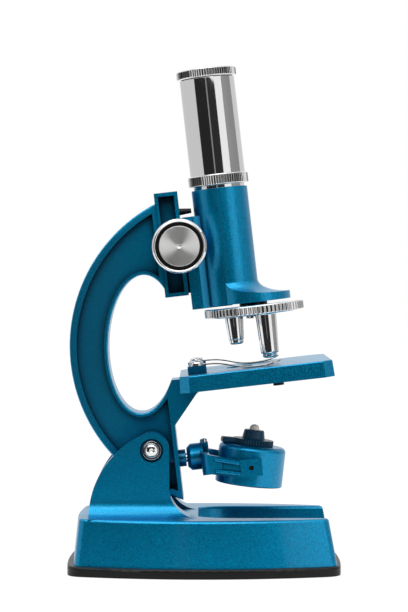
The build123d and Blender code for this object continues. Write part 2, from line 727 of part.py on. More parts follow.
with BuildPart() as arm_casting:
    extrude(arm_side(ARM_SIDE, 0, 0, BAR_FRONT_F, BOX_REAR_F), amount=ARM_WIDTH / 2, both=True)
    fillet(arm_casting.edges().filter_by(GeomType.CIRCLE), RIM_ROUND)
    fillet(arm_casting.edges().filter_by(GeomType.ELLIPSE), RIM_ROUND)
    for side in (-1, 1):
        rim_plane = ARM_SIDE.offset(side * ARM_WIDTH / 2)
        pocket = arm_side(rim_plane, RIM_OUTER, RIM_INNER, BAR_FRONT_F - BAR_FLANGE, BOX_REAR_F - BOX_WALL)
        extrude(pocket, amount=-side * WEB_RECESS, mode=Mode.SUBTRACT)
        lamp_pocket_height = LAMP_U - LAMP_POCKET_BOTTOM_U
        with BuildSketch(rim_plane) as lamp_pocket:
            with Locations((LAMP_POCKET_F, LAMP_U - lamp_pocket_height / 2)):
                RectangleRounded(LAMP_POCKET_WIDTH, lamp_pocket_height, LAMP_POCKET_CORNER)
        extrude(lamp_pocket.sketch, amount=-side * LAMP_POCKET_DEPTH, mode=Mode.SUBTRACT)
    with BuildSketch(ARM_SIDE) as bracket:
        with BuildLine():
            Polyline(
                (BAR_FRONT_F - BAR_FLANGE, BRACKET_FOOT_U),
                (BAR_FRONT_F, BRACKET_FOOT_U),
                (BRACKET_REACH_F, STAGE_BOTTOM_U - BRACKET_SEAT),
                (BRACKET_REACH_F, STAGE_BOTTOM_U),
                (STAGE_REAR_F - FACE_GAP, STAGE_BOTTOM_U),
                (STAGE_REAR_F - FACE_GAP, BRACKET_TOP_U),
                (BAR_FRONT_F - BAR_FLANGE, BRACKET_TOP_U),
                close=True,
            )
        make_face()
        with Locations((OVAL_F, OVAL_U)):
            Ellipse(OVAL_HALF_WIDTH, OVAL_HALF_HEIGHT, rotation=-OVAL_LEAN, mode=Mode.SUBTRACT)
    extrude(bracket.sketch, amount=ARM_WIDTH / 2, both=True)
    square_bar(level(box_centre_f, BOX_BOTTOM_U), box_depth, BOX_WIDTH, box_height)
    for side in (-1, 1):
        box_face = ARM_SIDE.offset(side * BOX_WIDTH / 2)
        with BuildSketch(box_face) as box_pocket:
            with Locations((box_centre_f, (BOX_TOP_U + BOX_BOTTOM_U) / 2)):
                Rectangle(box_depth - 2 * BOX_WALL, box_height - 2 * BOX_WALL)
        extrude(box_pocket.sketch, amount=-side * BOX_RECESS, mode=Mode.SUBTRACT)
        axle_end = arm_point(PINION_F, PINION_U)
        bearing_root = Plane(axle_end + Vector(0, side * (BOX_WIDTH / 2 - BOX_RECESS), 0), z_dir=(0, side, 0))
        round_bar(bearing_root, BEARING_RADIUS, BEARING_LENGTH + BOX_RECESS)
        bush_seat = bearing_root.offset(BOX_RECESS)
        round_bar(bush_seat, BUSH_RADIUS + SEAT_FIT, BEARING_LENGTH, Mode.SUBTRACT)
    round_bar(across(PINION_F, PINION_U, -BOX_WIDTH / 2), SHAFT_RADIUS + SHAFT_ROOM, BOX_WIDTH, Mode.SUBTRACT)
    square_bar(
        level(BOX_FRONT_F, PINION_U - pinion_room),
        2 * (BOX_FRONT_F - PINION_F + pinion_room),
        PINION_WIDTH + 2 * SHAFT_ROOM,
        2 * pinion_room,
        Mode.SUBTRACT,
    )
    square_bar(
        level(BOX_FRONT_F + BEARING_RADIUS, BOX_BOTTOM_U),
        2 * BEARING_RADIUS,
        SLIDE_WIDTH + 2 * SHAFT_ROOM,
        box_height,
        Mode.SUBTRACT,
    )
    pin_seat = ahead(BOX_FRONT_F - STOP_PIN_SEAT, STOP_PIN_U)
    round_bar(pin_seat, STOP_PIN_RADIUS + SEAT_FIT, STOP_PIN_SEAT, Mode.SUBTRACT)
    round_bar(ahead(0, LAMP_U), LAMP_BOSS_RADIUS, BAR_FRONT_F)
    round_bar(ahead(BAR_FRONT_F, LAMP_U), LAMP_STUB_RADIUS, LAMP_STUB_END_F - BAR_FRONT_F)
    lamp_bore_length = LAMP_STUB_END_F - LAMP_BORE_START_F
    lamp_bore_plane = ahead(LAMP_BORE_START_F, LAMP_U)
    round_bar(lamp_bore_plane, LAMP_SHAFT_RADIUS + RUNNING_FIT, lamp_bore_length, Mode.SUBTRACT)
    round_bar(across(0, 0, -ARM_WIDTH / 2), BOLT_RADIUS + RUNNING_FIT, ARM_WIDTH, Mode.SUBTRACT)
    for side in (-1, 1):
        screw_place = stage_screw_plane(side, STAGE_BOTTOM_U)
        round_bar(screw_place, SCREW_RADIUS + SEAT_FIT, -STAGE_HEIGHT, Mode.SUBTRACT)
        head_plane = screw_place.offset(-BRACKET_SEAT)
        round_bar(head_plane, SCREW_HEAD_RADIUS + RUNNING_FIT, -STAGE_HEIGHT, Mode.SUBTRACT)
arm_casting.part.label = "arm_casting"
export_step(arm_casting.part, "parts/arm_casting.step")

# Small parts fixed to the rack box
with BuildPart() as slide_rails:
    for side in (-1, 1):
        rail_length = RAIL_TOP_U - RAIL_BOTTOM_U
        rail_foot = level(BOX_FRONT_F, RAIL_BOTTOM_U)
        with BuildSketch(rail_foot) as rail:
            with Locations((RAIL_STEM_LENGTH / 2, side * RAIL_Y)):
                Rectangle(RAIL_STEM_LENGTH, RAIL_STEM)
            with Locations((RAIL_STEM_LENGTH + RAIL_FLANGE_THICKNESS / 2, side * RAIL_Y)):
                Rectangle(RAIL_FLANGE_THICKNESS, RAIL_FLANGE)
        extrude(rail.sketch, amount=rail_length)
slide_rails.part.label = "slide_rails"
export_step(slide_rails.part, "parts/slide_rails.step")

with BuildPart() as stop_pin:
    pin_outline = [
        (0, 0),
        (STOP_PIN_RADIUS, 0),
        (STOP_PIN_RADIUS, STOP_PIN_SEAT),
        (STOP_PIN_TIP_RADIUS, STOP_PIN_SEAT + STOP_PIN_LENGTH),
        (0, STOP_PIN_SEAT + STOP_PIN_LENGTH),
    ]
    turned(pin_seat, pin_outline)
stop_pin.part.label = "stop_pin"
export_step(stop_pin.part, "parts/stop_pin.step")

with BuildPart() as pinion_bushes:
    for side in (-1, 1):
        bush_end = arm_point(PINION_F, PINION_U) + Vector(0, side * BOX_WIDTH / 2, 0)
        bush_section = tube_outline(BUSH_RADIUS, SHAFT_RADIUS + RUNNING_FIT, BEARING_LENGTH)
        turned(Plane(bush_end, z_dir=(0, side, 0)), bush_section)
pinion_bushes.part.label = "pinion_bushes"
export_step(pinion_bushes.part, "parts/pinion_bushes.step")

# Pinion on its shaft, with the two knobs
tooth_pitch = pi * TOOTH_MODULE
tooth_width = tooth_pitch / 2 - TOOTH_PLAY
tooth_root = PINION_PITCH_RADIUS - TOOTH_ROOT_SHARE * TOOTH_MODULE
tooth_tip = PINION_PITCH_RADIUS + TOOTH_MODULE
tooth_slope = tan(radians(PRESSURE_ANGLE)) * TOOTH_MODULE
knob_floor = KNOB_WIDTH - KNOB_FACE_DEPTH


def tooth_outline(root, tip, pitch_line):
    """Straight-sided gear tooth along x, as thick as the tooth width at its pitch line."""
    half = tooth_width / 2
    return [
        (root, -half - tooth_slope * (pitch_line - root) / TOOTH_MODULE),
        (tip, -half + tooth_slope * (tip - pitch_line) / TOOTH_MODULE),
        (tip, half - tooth_slope * (tip - pitch_line) / TOOTH_MODULE),
        (root, half + tooth_slope * (pitch_line - root) / TOOTH_MODULE),
    ]


with BuildPart() as pinion_shaft:
    pinion_side = Plane(arm_point(PINION_F, PINION_U), x_dir=FORWARD, z_dir=(0, -1, 0))
    with BuildSketch(pinion_side) as pinion:
        Circle(tooth_root)
        with PolarLocations(0, PINION_TEETH):
            Polygon(*tooth_outline(tooth_root - SHAFT_ROOM, tooth_tip, PINION_PITCH_RADIUS), align=None)
    extrude(pinion.sketch, amount=PINION_WIDTH / 2, both=True)
    shaft_half = KNOB_START + knob_floor
    round_bar(across(PINION_F, PINION_U, -shaft_half), SHAFT_RADIUS, 2 * shaft_half)
pinion_shaft.part.label = "pinion_shaft"
export_step(pinion_shaft.part, "parts/pinion_shaft.step")

knob_outline = [
    (SHAFT_RADIUS + SEAT_FIT, 0),
    (KNOB_RADIUS - KNOB_BEVEL, 0),
    (KNOB_RADIUS, KNOB_BEVEL),
    (KNOB_RADIUS, KNOB_WIDTH - KNOB_BEVEL),
    (KNOB_RADIUS - KNOB_BEVEL, KNOB_WIDTH),
    (KNOB_RING_RADIUS + SEAT_FIT, KNOB_WIDTH),
    (KNOB_RING_RADIUS + SEAT_FIT, knob_floor),
    (SHAFT_RADIUS + SEAT_FIT, knob_floor),
]
knob_planes = []
for side in (-1, 1):
    knob_back = arm_point(PINION_F, PINION_U) + Vector(0, side * KNOB_START, 0)
    knob_planes.append(Plane(knob_back, z_dir=(0, side, 0)))

with BuildPart() as knob_near:
    turned(knob_planes[0], knob_outline)
knob_near.part.label = "knob_near"
export_step(knob_near.part, "parts/knob_near.step")

with BuildPart() as knob_far:
    turned(knob_planes[1], knob_outline)
knob_far.part.label = "knob_far"
export_step(knob_far.part, "parts/knob_far.step")

with BuildPart() as knob_discs:
    for plane in knob_planes:
        round_bar(plane.offset(knob_floor), KNOB_DISC_RADIUS, KNOB_DISC_THICKNESS)
knob_discs.part.label = "knob_discs"
export_step(knob_discs.part, "parts/knob_discs.step")

with BuildPart() as knob_rings:
    ring_section = tube_outline(KNOB_RING_RADIUS, KNOB_DISC_RADIUS + SEAT_FIT, KNOB_RING_THICKNESS)
    for plane in knob_planes:
        turned(plane.offset(knob_floor), ring_section)
knob_rings.part.label = "knob_rings"
export_step(knob_rings.part, "parts/knob_rings.step")

# Body tube with its flared flange and the slide block behind it
tube_height = TUBE_TOP_U - FLANGE_BOTTOM_U
flange_top_u = FLANGE_BOTTOM_U + FLANGE_THICKNESS
slide_height = SLIDE_TOP_U - SLIDE_BOTTOM_U
groove_floor_f = OPTIC_F - TUBE_RADIUS
slot_start = RAIL_STEM_LENGTH - RAIL_PLAY - (SLIDE_REAR_F - BOX_FRONT_F)
slot_depth = RAIL_FLANGE_THICKNESS + 2 * RAIL_PLAY

with BuildPart() as tube_flare:
    flare_foot = level(OPTIC_F, flange_top_u)
    flare_radius = TUBE_RADIUS + FLARE_REACH
    with BuildSketch(Plane(flare_foot.origin, x_dir=FORWARD, z_dir=(0, -1, 0))) as flare:
        with BuildLine():
            Polyline((TUBE_RADIUS, FLARE_HEIGHT), (0, FLARE_HEIGHT), (0, 0), (flare_radius, 0))
            EllipticalCenterArc((flare_radius, FLARE_HEIGHT), FLARE_REACH, FLARE_HEIGHT, 180, arc_size=90)
        make_face()
    revolve(flare.sketch, axis=Axis(flare_foot.origin, UPWARD))
    round_bar(level(TURRET_F, flange_top_u), FLANGE_RADIUS, FLARE_HEIGHT, Mode.INTERSECT)

with BuildPart() as body_tube:
    round_bar(level(OPTIC_F, FLANGE_BOTTOM_U), TUBE_RADIUS, tube_height)
    round_bar(level(TURRET_F, FLANGE_BOTTOM_U), FLANGE_RADIUS, FLANGE_THICKNESS)
    add(tube_flare.part)
    slide_half = [
        (SLIDE_REAR_F, SLIDE_WIDTH / 2),
        (SLIDE_SHOULDER_F, SLIDE_WIDTH / 2),
        (SLIDE_FRONT_F, SLIDE_FRONT_WIDTH / 2),
        (OPTIC_F, SLIDE_FRONT_WIDTH / 2),
    ]
    with BuildSketch(level(0, SLIDE_BOTTOM_U)) as slide_block:
        Polygon(*slide_half, *[(f, -y) for f, y in reversed(slide_half)], align=None)
    extrude(slide_block.sketch, amount=slide_height)
    round_bar(level(OPTIC_F, FLANGE_BOTTOM_U + TUBE_FLOOR), TUBE_BORE, tube_height, Mode.SUBTRACT)
    round_bar(level(OPTIC_F, SLIDE_BOTTOM_U), LIGHT_HOLE, tube_height, Mode.SUBTRACT)
    round_bar(
        level(TURRET_F, FLANGE_BOTTOM_U), TURRET_SCREW_RADIUS + SEAT_FIT, TURRET_SCREW_THREAD, Mode.SUBTRACT
    )
    with BuildSketch(level(SLIDE_REAR_F, SLIDE_BOTTOM_U)) as slots:
        groove_depth = groove_floor_f - SLIDE_REAR_F
        with Locations((groove_depth / 2, 0)):
            Rectangle(groove_depth, SLIDE_GROOVE_WIDTH)
        for side in (-1, 1):
            with Locations((slot_start / 2, side * RAIL_Y)):
                Rectangle(slot_start, RAIL_STEM + 2 * RAIL_PLAY)
            with Locations((slot_start + slot_depth / 2, side * RAIL_Y)):
                Rectangle(slot_depth, RAIL_FLANGE + 2 * RAIL_PLAY)
    extrude(slots.sketch, amount=slide_height, mode=Mode.SUBTRACT)
body_tube.part.label = "body_tube"
export_step(body_tube.part, "parts/body_tube.step")

with BuildPart() as focus_rack:
    rack_root_f = RACK_PITCH_F + TOOTH_ROOT_SHARE * TOOTH_MODULE
    rack_back_f = groove_floor_f - SEAT_FIT
    square_bar(
        level((rack_root_f + rack_back_f) / 2, RACK_BOTTOM_U),
        rack_back_f - rack_root_f,
        RACK_WIDTH,
        RACK_TOP_U - RACK_BOTTOM_U,
    )
    upper_count = int((RACK_TOP_U - PINION_U) / tooth_pitch - 0.5)
    lower_count = int((PINION_U - RACK_BOTTOM_U) / tooth_pitch - 0.5)
    for step in range(-lower_count, upper_count + 1):
        tooth_u = PINION_U + (step + 0.5) * tooth_pitch
        tooth_plane = Plane(arm_point(RACK_PITCH_F, tooth_u), x_dir=-FORWARD, z_dir=(0, 1, 0))
        with BuildSketch(tooth_plane) as rack_tooth:
            Polygon(*tooth_outline(RACK_PITCH_F - rack_root_f - SHAFT_ROOM, TOOTH_MODULE, 0), align=None)
        extrude(rack_tooth.sketch, amount=RACK_WIDTH / 2, both=True)
focus_rack.part.label = "focus_rack"
export_step(focus_rack.part, "parts/focus_rack.step")

# Turret on its screw, with three objectives of different length
with BuildPart() as turret_screw:
    head_top = level(TURRET_F, TURRET_BOTTOM_U - FACE_GAP)
    screw_rise = TURRET_THICKNESS + TURRET_GAP + FACE_GAP + TURRET_SCREW_THREAD
    round_bar(head_top, TURRET_SCREW_HEAD_RADIUS, -TURRET_SCREW_HEAD_HEIGHT)
    round_bar(head_top, TURRET_SCREW_RADIUS, screw_rise)
turret_screw.part.label = "turret_screw"
export_step(turret_screw.part, "parts/turret_screw.step")

with BuildPart() as turret_washer:
    washer_section = tube_outline(
        TURRET_WASHER_RADIUS, TURRET_SCREW_RADIUS + SEAT_FIT, TURRET_GAP - FACE_GAP
    )
    turned(level(TURRET_F, TURRET_TOP_U + FACE_GAP), washer_section)
turret_washer.part.label = "turret_washer"
export_step(turret_washer.part, "parts/turret_washer.step")


def objective_plane(angle, u):
    """Plane across an objective's axis; the angle is counted round the turret from the front."""
    reach = OBJECTIVE_PITCH * cos(radians(angle))
    offset_y = OBJECTIVE_PITCH * sin(radians(angle))
    place = arm_point(TURRET_F + reach, u) + Vector(0, offset_y, 0)
    return Plane(place, x_dir=FORWARD, z_dir=UPWARD)


def objective_outline(radius, nose_radius, tip_u):
    """Section of an objective barrel from its tip to the top of its threaded neck."""
    shoulder = TURRET_BOTTOM_U - FACE_GAP - tip_u
    neck_top = TURRET_TOP_U - FACE_GAP - tip_u
    return [
        (OBJECTIVE_BORE, 0),
        (nose_radius, 0),
        (nose_radius, NOSE_LENGTH),
        (radius - OBJECTIVE_TAPER, NOSE_LENGTH),
        (radius, shoulder),
        (OBJECTIVE_NECK_RADIUS, shoulder),
        (OBJECTIVE_NECK_RADIUS, neck_top),
        (OBJECTIVE_BORE, neck_top),
    ]


with BuildPart() as turret_disc:
    round_bar(level(TURRET_F, TURRET_BOTTOM_U), TURRET_RADIUS, TURRET_THICKNESS)
    chamfer(turret_disc.edges().filter_by(GeomType.CIRCLE), OBJECTIVE_RIM)
    round_bar(
        level(TURRET_F, TURRET_BOTTOM_U), TURRET_SCREW_RADIUS + RUNNING_FIT, TURRET_THICKNESS, Mode.SUBTRACT
    )
    for angle in (SHORT_ANGLE, MEDIUM_ANGLE, LONG_ANGLE):
        hole_plane = objective_plane(angle, TURRET_BOTTOM_U)
        round_bar(hole_plane, OBJECTIVE_NECK_RADIUS + SEAT_FIT, TURRET_THICKNESS, Mode.SUBTRACT)
turret_disc.part.label = "turret_disc"
export_step(turret_disc.part, "parts/turret_disc.step")

with BuildPart() as objective_short:
    short_outline = objective_outline(SHORT_RADIUS, SHORT_NOSE_RADIUS, SHORT_TIP_U)
    turned(objective_plane(SHORT_ANGLE, SHORT_TIP_U), short_outline)
objective_short.part.label = "objective_short"
export_step(objective_short.part, "parts/objective_short.step")

with BuildPart() as objective_medium:
    medium_outline = objective_outline(MEDIUM_RADIUS, MEDIUM_NOSE_RADIUS, MEDIUM_TIP_U)
    turned(objective_plane(MEDIUM_ANGLE, MEDIUM_TIP_U), medium_outline)
objective_medium.part.label = "objective_medium"
export_step(objective_medium.part, "parts/objective_medium.step")

with BuildPart() as objective_long:
    long_outline = objective_outline(LONG_RADIUS, LONG_NOSE_RADIUS, LONG_TIP_U)
    turned(objective_plane(LONG_ANGLE, LONG_TIP_U), long_outline)
objective_long.part.label = "objective_long"
export_step(objective_long.part, "parts/objective_long.step")

with BuildPart() as objective_lenses:
    for angle, tip_u in ((SHORT_ANGLE, SHORT_TIP_U), (MEDIUM_ANGLE, MEDIUM_TIP_U), (LONG_ANGLE, LONG_TIP_U)):
        lens_plane = objective_plane(angle, tip_u + OBJECTIVE_RIM)
        round_bar(lens_plane, OBJECTIVE_BORE - SEAT_FIT, OBJECTIVE_LENS_THICKNESS)
objective_lenses.part.label = "objective_lenses"
export_step(objective_lenses.part, "parts/objective_lenses.step")

# Eyepiece: collar and barrel on the body tube, cap and draw tube that pull out for zoom
spigot_radius = TUBE_BORE - SEAT_FIT
spigot_bore = spigot_radius - BARREL_WALL
draw_bore = DRAW_RADIUS - DRAW_WALL
draw_bottom_u = CAP_BOTTOM_U - DRAW_LENGTH
collar_rise = SPIGOT_LENGTH + NECK_HEIGHT

with BuildPart() as barrel_collar:
    collar_outline = [
        (spigot_bore, 0),
        (spigot_radius, 0),
        (spigot_radius, SPIGOT_LENGTH),
        (NECK_RADIUS, SPIGOT_LENGTH),
        (NECK_RADIUS, collar_rise),
        (COLLAR_RADIUS, collar_rise),
        (COLLAR_RADIUS, collar_rise + COLLAR_HEIGHT),
        (spigot_bore, collar_rise + COLLAR_HEIGHT),
    ]
    turned(level(OPTIC_F, TUBE_TOP_U - SPIGOT_LENGTH), collar_outline)
barrel_collar.part.label = "barrel_collar"
export_step(barrel_collar.part, "parts/barrel_collar.step")

with BuildPart() as eyepiece_barrel:
    turned(level(OPTIC_F, BARREL_BOTTOM_U), tube_outline(BARREL_RADIUS, BARREL_BORE, BARREL_LENGTH))
eyepiece_barrel.part.label = "eyepiece_barrel"
export_step(eyepiece_barrel.part, "parts/eyepiece_barrel.step")

with BuildPart() as draw_tube:
    turned(level(OPTIC_F, draw_bottom_u), tube_outline(DRAW_RADIUS, draw_bore, DRAW_LENGTH))
draw_tube.part.label = "draw_tube"
export_step(draw_tube.part, "parts/draw_tube.step")

with BuildPart() as eyepiece_cap:
    cap_outline = [
        (CAP_EYE_RADIUS, 0),
        (CAP_RADIUS, 0),
        (CAP_RADIUS, CAP_HEIGHT),
        (DRAW_RADIUS, CAP_HEIGHT),
        (CAP_EYE_RADIUS, CAP_HEIGHT - CAP_CUP_DEPTH),
    ]
    turned(level(OPTIC_F, CAP_BOTTOM_U), cap_outline)
eyepiece_cap.part.label = "eyepiece_cap"
export_step(eyepiece_cap.part, "parts/eyepiece_cap.step")

with BuildPart() as eye_lens:
    eye_lens_u = CAP_BOTTOM_U - EYE_LENS_THICKNESS
    lens(level(OPTIC_F, eye_lens_u), draw_bore - SEAT_FIT, EYE_LENS_THICKNESS, EYE_LENS_DOME)
eye_lens.part.label = "eye_lens"
export_step(eye_lens.part, "parts/eye_lens.step")

with BuildPart() as lens_ring:
    ring_radius = draw_bore - SEAT_FIT
    ring_section = tube_outline(ring_radius, ring_radius - LENS_RING_WALL, LENS_RING_HEIGHT)
    turned(level(OPTIC_F, draw_bottom_u), ring_section)
lens_ring.part.label = "lens_ring"
export_step(lens_ring.part, "parts/lens_ring.step")

with BuildPart() as field_lens:
    field_plane = level(OPTIC_F, draw_bottom_u + LENS_RING_HEIGHT)
    lens(field_plane, draw_bore - SEAT_FIT, FIELD_LENS_THICKNESS, FIELD_LENS_DOME)
field_lens.part.label = "field_lens"
export_step(field_lens.part, "parts/field_lens.step")


# Stage: drafted skirted plate with two clip blocks, held on the arm's bracket
def stage_plan(plane, inset):
    """Plan of the stage: rectangle with cut corners, set in all round."""
    with BuildSketch(plane) as plan:
        Rectangle(STAGE_LENGTH - 2 * inset, STAGE_WIDTH - 2 * inset)
        chamfer(plan.vertices(), STAGE_CORNER)
    return plan.sketch.face()


def drafted_stage(inset, height, mode=Mode.ADD):
    """Drafted block that follows the stage plan, narrower at its top."""
    foot = level(STAGE_CENTRE_F, STAGE_BOTTOM_U)
    draft = height * tan(radians(STAGE_DRAFT))
    loft([stage_plan(foot, inset), stage_plan(foot.offset(height), inset + draft)], ruled=True, mode=mode)


def clip_plane(side, u):
    """Plane at the pivot of one of the two clips."""
    place = arm_point(CLIP_BLOCK_F, u) + Vector(0, side * CLIP_Y, 0)
    return Plane(place, x_dir=FORWARD, z_dir=UPWARD)


skirt_height = STAGE_HEIGHT - STAGE_PLATE
block_top_u = STAGE_TOP_U + CLIP_BLOCK_HEIGHT
clip_bottom_u = block_top_u + FACE_GAP
disc_top_u = STAGE_ROOF_U - APERTURE_GAP
disc_bottom_u = disc_top_u - APERTURE_THICKNESS

with BuildPart() as stage:
    drafted_stage(0, STAGE_HEIGHT)
    stage_top = stage.faces().sort_by(Axis(PIVOT, UPWARD))[-1]
    fillet(stage_top.edges(), STAGE_EDGE)
    drafted_stage(STAGE_WALL, skirt_height, Mode.SUBTRACT)
    for side in (-1, 1):
        boss_plane = stage_screw_plane(side, STAGE_BOTTOM_U)
        round_bar(boss_plane, STAGE_BOSS_RADIUS, skirt_height)
        round_bar(boss_plane, SCREW_RADIUS + SEAT_FIT, STAGE_SCREW_SHANK, Mode.SUBTRACT)
        square_bar(clip_plane(side, STAGE_TOP_U), CLIP_BLOCK_LENGTH, CLIP_BLOCK_WIDTH, CLIP_BLOCK_HEIGHT)
        block_top = clip_plane(side, block_top_u)
        round_bar(block_top, CLIP_SCREW_RADIUS + SEAT_FIT, -CLIP_SCREW_DEPTH, Mode.SUBTRACT)
    round_bar(level(OPTIC_F, STAGE_ROOF_U), STAGE_HOLE_RADIUS, STAGE_PLATE, Mode.SUBTRACT)
    round_bar(level(APERTURE_F, STAGE_ROOF_U), RIVET_RADIUS + SEAT_FIT, RIVET_SEAT, Mode.SUBTRACT)
stage.part.label = "stage"
export_step(stage.part, "parts/stage.step")

with BuildPart() as stage_screws:
    for side in (-1, 1):
        head_top = stage_screw_plane(side, STAGE_BOTTOM_U - BRACKET_SEAT)
        round_bar(head_top, SCREW_HEAD_RADIUS, -SCREW_HEAD_HEIGHT)
        round_bar(head_top, SCREW_RADIUS, BRACKET_SEAT + STAGE_SCREW_SHANK)
stage_screws.part.label = "stage_screws"
export_step(stage_screws.part, "parts/stage_screws.step")


def clip_strip(side):
    """Spring clip: flat heel on its block, a bowed strip and a paddle that curls up at its tip."""
    touch_u = STAGE_TOP_U + FACE_GAP
    block_end_f = CLIP_BLOCK_F + CLIP_BLOCK_LENGTH / 2
    heel_f = CLIP_BLOCK_F - CLIP_HEEL_RADIUS
    tip_f = CLIP_PADDLE_F + CLIP_PADDLE_RADIUS
    bow = (CLIP_TOUCH_F - block_end_f) / 2
    thick = CLIP_THICKNESS
    with BuildSketch(clip_plane(side, STAGE_TOP_U)) as outline:
        Circle(CLIP_HEEL_RADIUS)
        with Locations(((CLIP_PADDLE_F - CLIP_BLOCK_F) / 2, 0)):
            Rectangle(CLIP_PADDLE_F - CLIP_BLOCK_F, CLIP_WAIST)
        with Locations((CLIP_PADDLE_F - CLIP_BLOCK_F, 0)):
            Circle(CLIP_PADDLE_RADIUS)
        Circle(CLIP_SCREW_RADIUS + RUNNING_FIT, mode=Mode.SUBTRACT)
    extrude(outline.sketch, amount=2 * CLIP_BLOCK_HEIGHT)
    clip_side = Plane(PIVOT + Vector(0, side * CLIP_Y, 0), x_dir=FORWARD, z_dir=(0, -1, 0))
    with BuildSketch(clip_side) as strip:
        with BuildLine():
            Line((heel_f, clip_bottom_u), (block_end_f, clip_bottom_u))
            Bezier(
                (block_end_f, clip_bottom_u),
                (block_end_f + bow, clip_bottom_u),
                (CLIP_TOUCH_F - bow, touch_u),
                (CLIP_TOUCH_F, touch_u),
            )
            TangentArc((CLIP_TOUCH_F, touch_u), (tip_f, touch_u + CLIP_CURL), tangent=(1, 0))
            Line((tip_f, touch_u + CLIP_CURL), (tip_f, touch_u + CLIP_CURL + thick))
            TangentArc(
                (CLIP_TOUCH_F, touch_u + thick), (tip_f, touch_u + CLIP_CURL + thick), tangent=(1, 0)
            )
            Bezier(
                (CLIP_TOUCH_F, touch_u + thick),
                (CLIP_TOUCH_F - bow, touch_u + thick),
                (block_end_f + bow, clip_bottom_u + thick),
                (block_end_f, clip_bottom_u + thick),
            )
            Line((block_end_f, clip_bottom_u + thick), (heel_f, clip_bottom_u + thick))
            Line((heel_f, clip_bottom_u + thick), (heel_f, clip_bottom_u))
        make_face()
    extrude(strip.sketch, amount=CLIP_PADDLE_RADIUS, both=True, mode=Mode.INTERSECT)


with BuildPart() as stage_clip_near:
    clip_strip(-1)
stage_clip_near.part.label = "stage_clip_near"
export_step(stage_clip_near.part, "parts/stage_clip_near.step")

with BuildPart() as stage_clip_far:
    clip_strip(1)
stage_clip_far.part.label = "stage_clip_far"
export_step(stage_clip_far.part, "parts/stage_clip_far.step")

with BuildPart() as clip_screws:
    for side in (-1, 1):
        head_plane = clip_plane(side, clip_bottom_u + CLIP_THICKNESS + FACE_GAP)
        lens(head_plane, CLIP_HEAD_RADIUS, CLIP_HEAD_HEIGHT, CLIP_HEAD_HEIGHT - CLIP_THICKNESS)
        shank_length = CLIP_SCREW_DEPTH + CLIP_THICKNESS + 2 * FACE_GAP
        round_bar(head_plane, CLIP_SCREW_RADIUS, -shank_length)
clip_screws.part.label = "clip_screws"
export_step(clip_screws.part, "parts/clip_screws.step")

# Aperture disc: four holes of different size on the circle that passes the optical axis
with BuildPart() as aperture_disc:
    round_bar(level(APERTURE_F, disc_bottom_u), APERTURE_RADIUS, APERTURE_THICKNESS)
    round_bar(level(APERTURE_F, disc_bottom_u), RIVET_RADIUS + RUNNING_FIT, APERTURE_THICKNESS, Mode.SUBTRACT)
    for step, radius in enumerate(reversed(APERTURE_HOLES)):
        turn = radians(180 + step * 360 / len(APERTURE_HOLES))
        reach = APERTURE_F - OPTIC_F
        hole_f = APERTURE_F + reach * cos(turn)
        hole_place = arm_point(hole_f, disc_bottom_u) + Vector(0, reach * sin(turn), 0)
        hole_plane = Plane(hole_place, x_dir=FORWARD, z_dir=UPWARD)
        round_bar(hole_plane, radius, APERTURE_THICKNESS, Mode.SUBTRACT)
aperture_disc.part.label = "aperture_disc"
export_step(aperture_disc.part, "parts/aperture_disc.step")

with BuildPart() as aperture_rivet:
    head_top_u = disc_bottom_u - FACE_GAP
    round_bar(level(APERTURE_F, RIVET_HEAD_BOTTOM_U), RIVET_HEAD_RADIUS, head_top_u - RIVET_HEAD_BOTTOM_U)
    round_bar(level(APERTURE_F, head_top_u), RIVET_RADIUS, STAGE_ROOF_U + RIVET_SEAT - head_top_u)
aperture_rivet.part.label = "aperture_rivet"
export_step(aperture_rivet.part, "parts/aperture_rivet.step")

# Lamp shaft in the arm's boss, with the fork clamped on its end
with BuildPart() as lamp_shaft:
    shaft_start_f = LAMP_BORE_START_F + FACE_GAP
    round_bar(ahead(shaft_start_f, LAMP_U), LAMP_SHAFT_RADIUS, LUG_START_F - shaft_start_f)
lamp_shaft.part.label = "lamp_shaft"
export_step(lamp_shaft.part, "parts/lamp_shaft.step")

fork_end_f = DRUM_F + FORK_END_REACH
pad_start_f = DRUM_F - FORK_END_REACH
lug_middle_f = (LUG_START_F + LUG_END_F) / 2


def fork_corners(f, share):
    """Lower and upper corner of a fork arm at a distance f; the arm tapers up to the drum's pad."""
    along = (f - LUG_START_F) / (pad_start_f - LUG_START_F)
    middle = FORK_REAR_U + along * (DRUM_U - FORK_REAR_U)
    half = (FORK_REAR_HEIGHT + along * (FORK_FRONT_HEIGHT - FORK_REAR_HEIGHT)) / 2 * share
    return [(f, middle - half), (f, middle + half)]


def fork_side(plane, start_f, share, pad_length=0):
    """Side view of a fork arm from a distance f to its pad, with or without the pad."""
    start_low, start_high = fork_corners(start_f, share)
    end_low, end_high = fork_corners(pad_start_f, share)
    outline = [start_low, end_low, end_high, start_high]
    if pad_length:
        pad_end_f = pad_start_f + pad_length
        outline[2:2] = [(pad_end_f, end_low[1]), (pad_end_f, end_high[1])]
    with BuildSketch(plane) as arm:
        Polygon(*outline, align=None)
    return arm.sketch


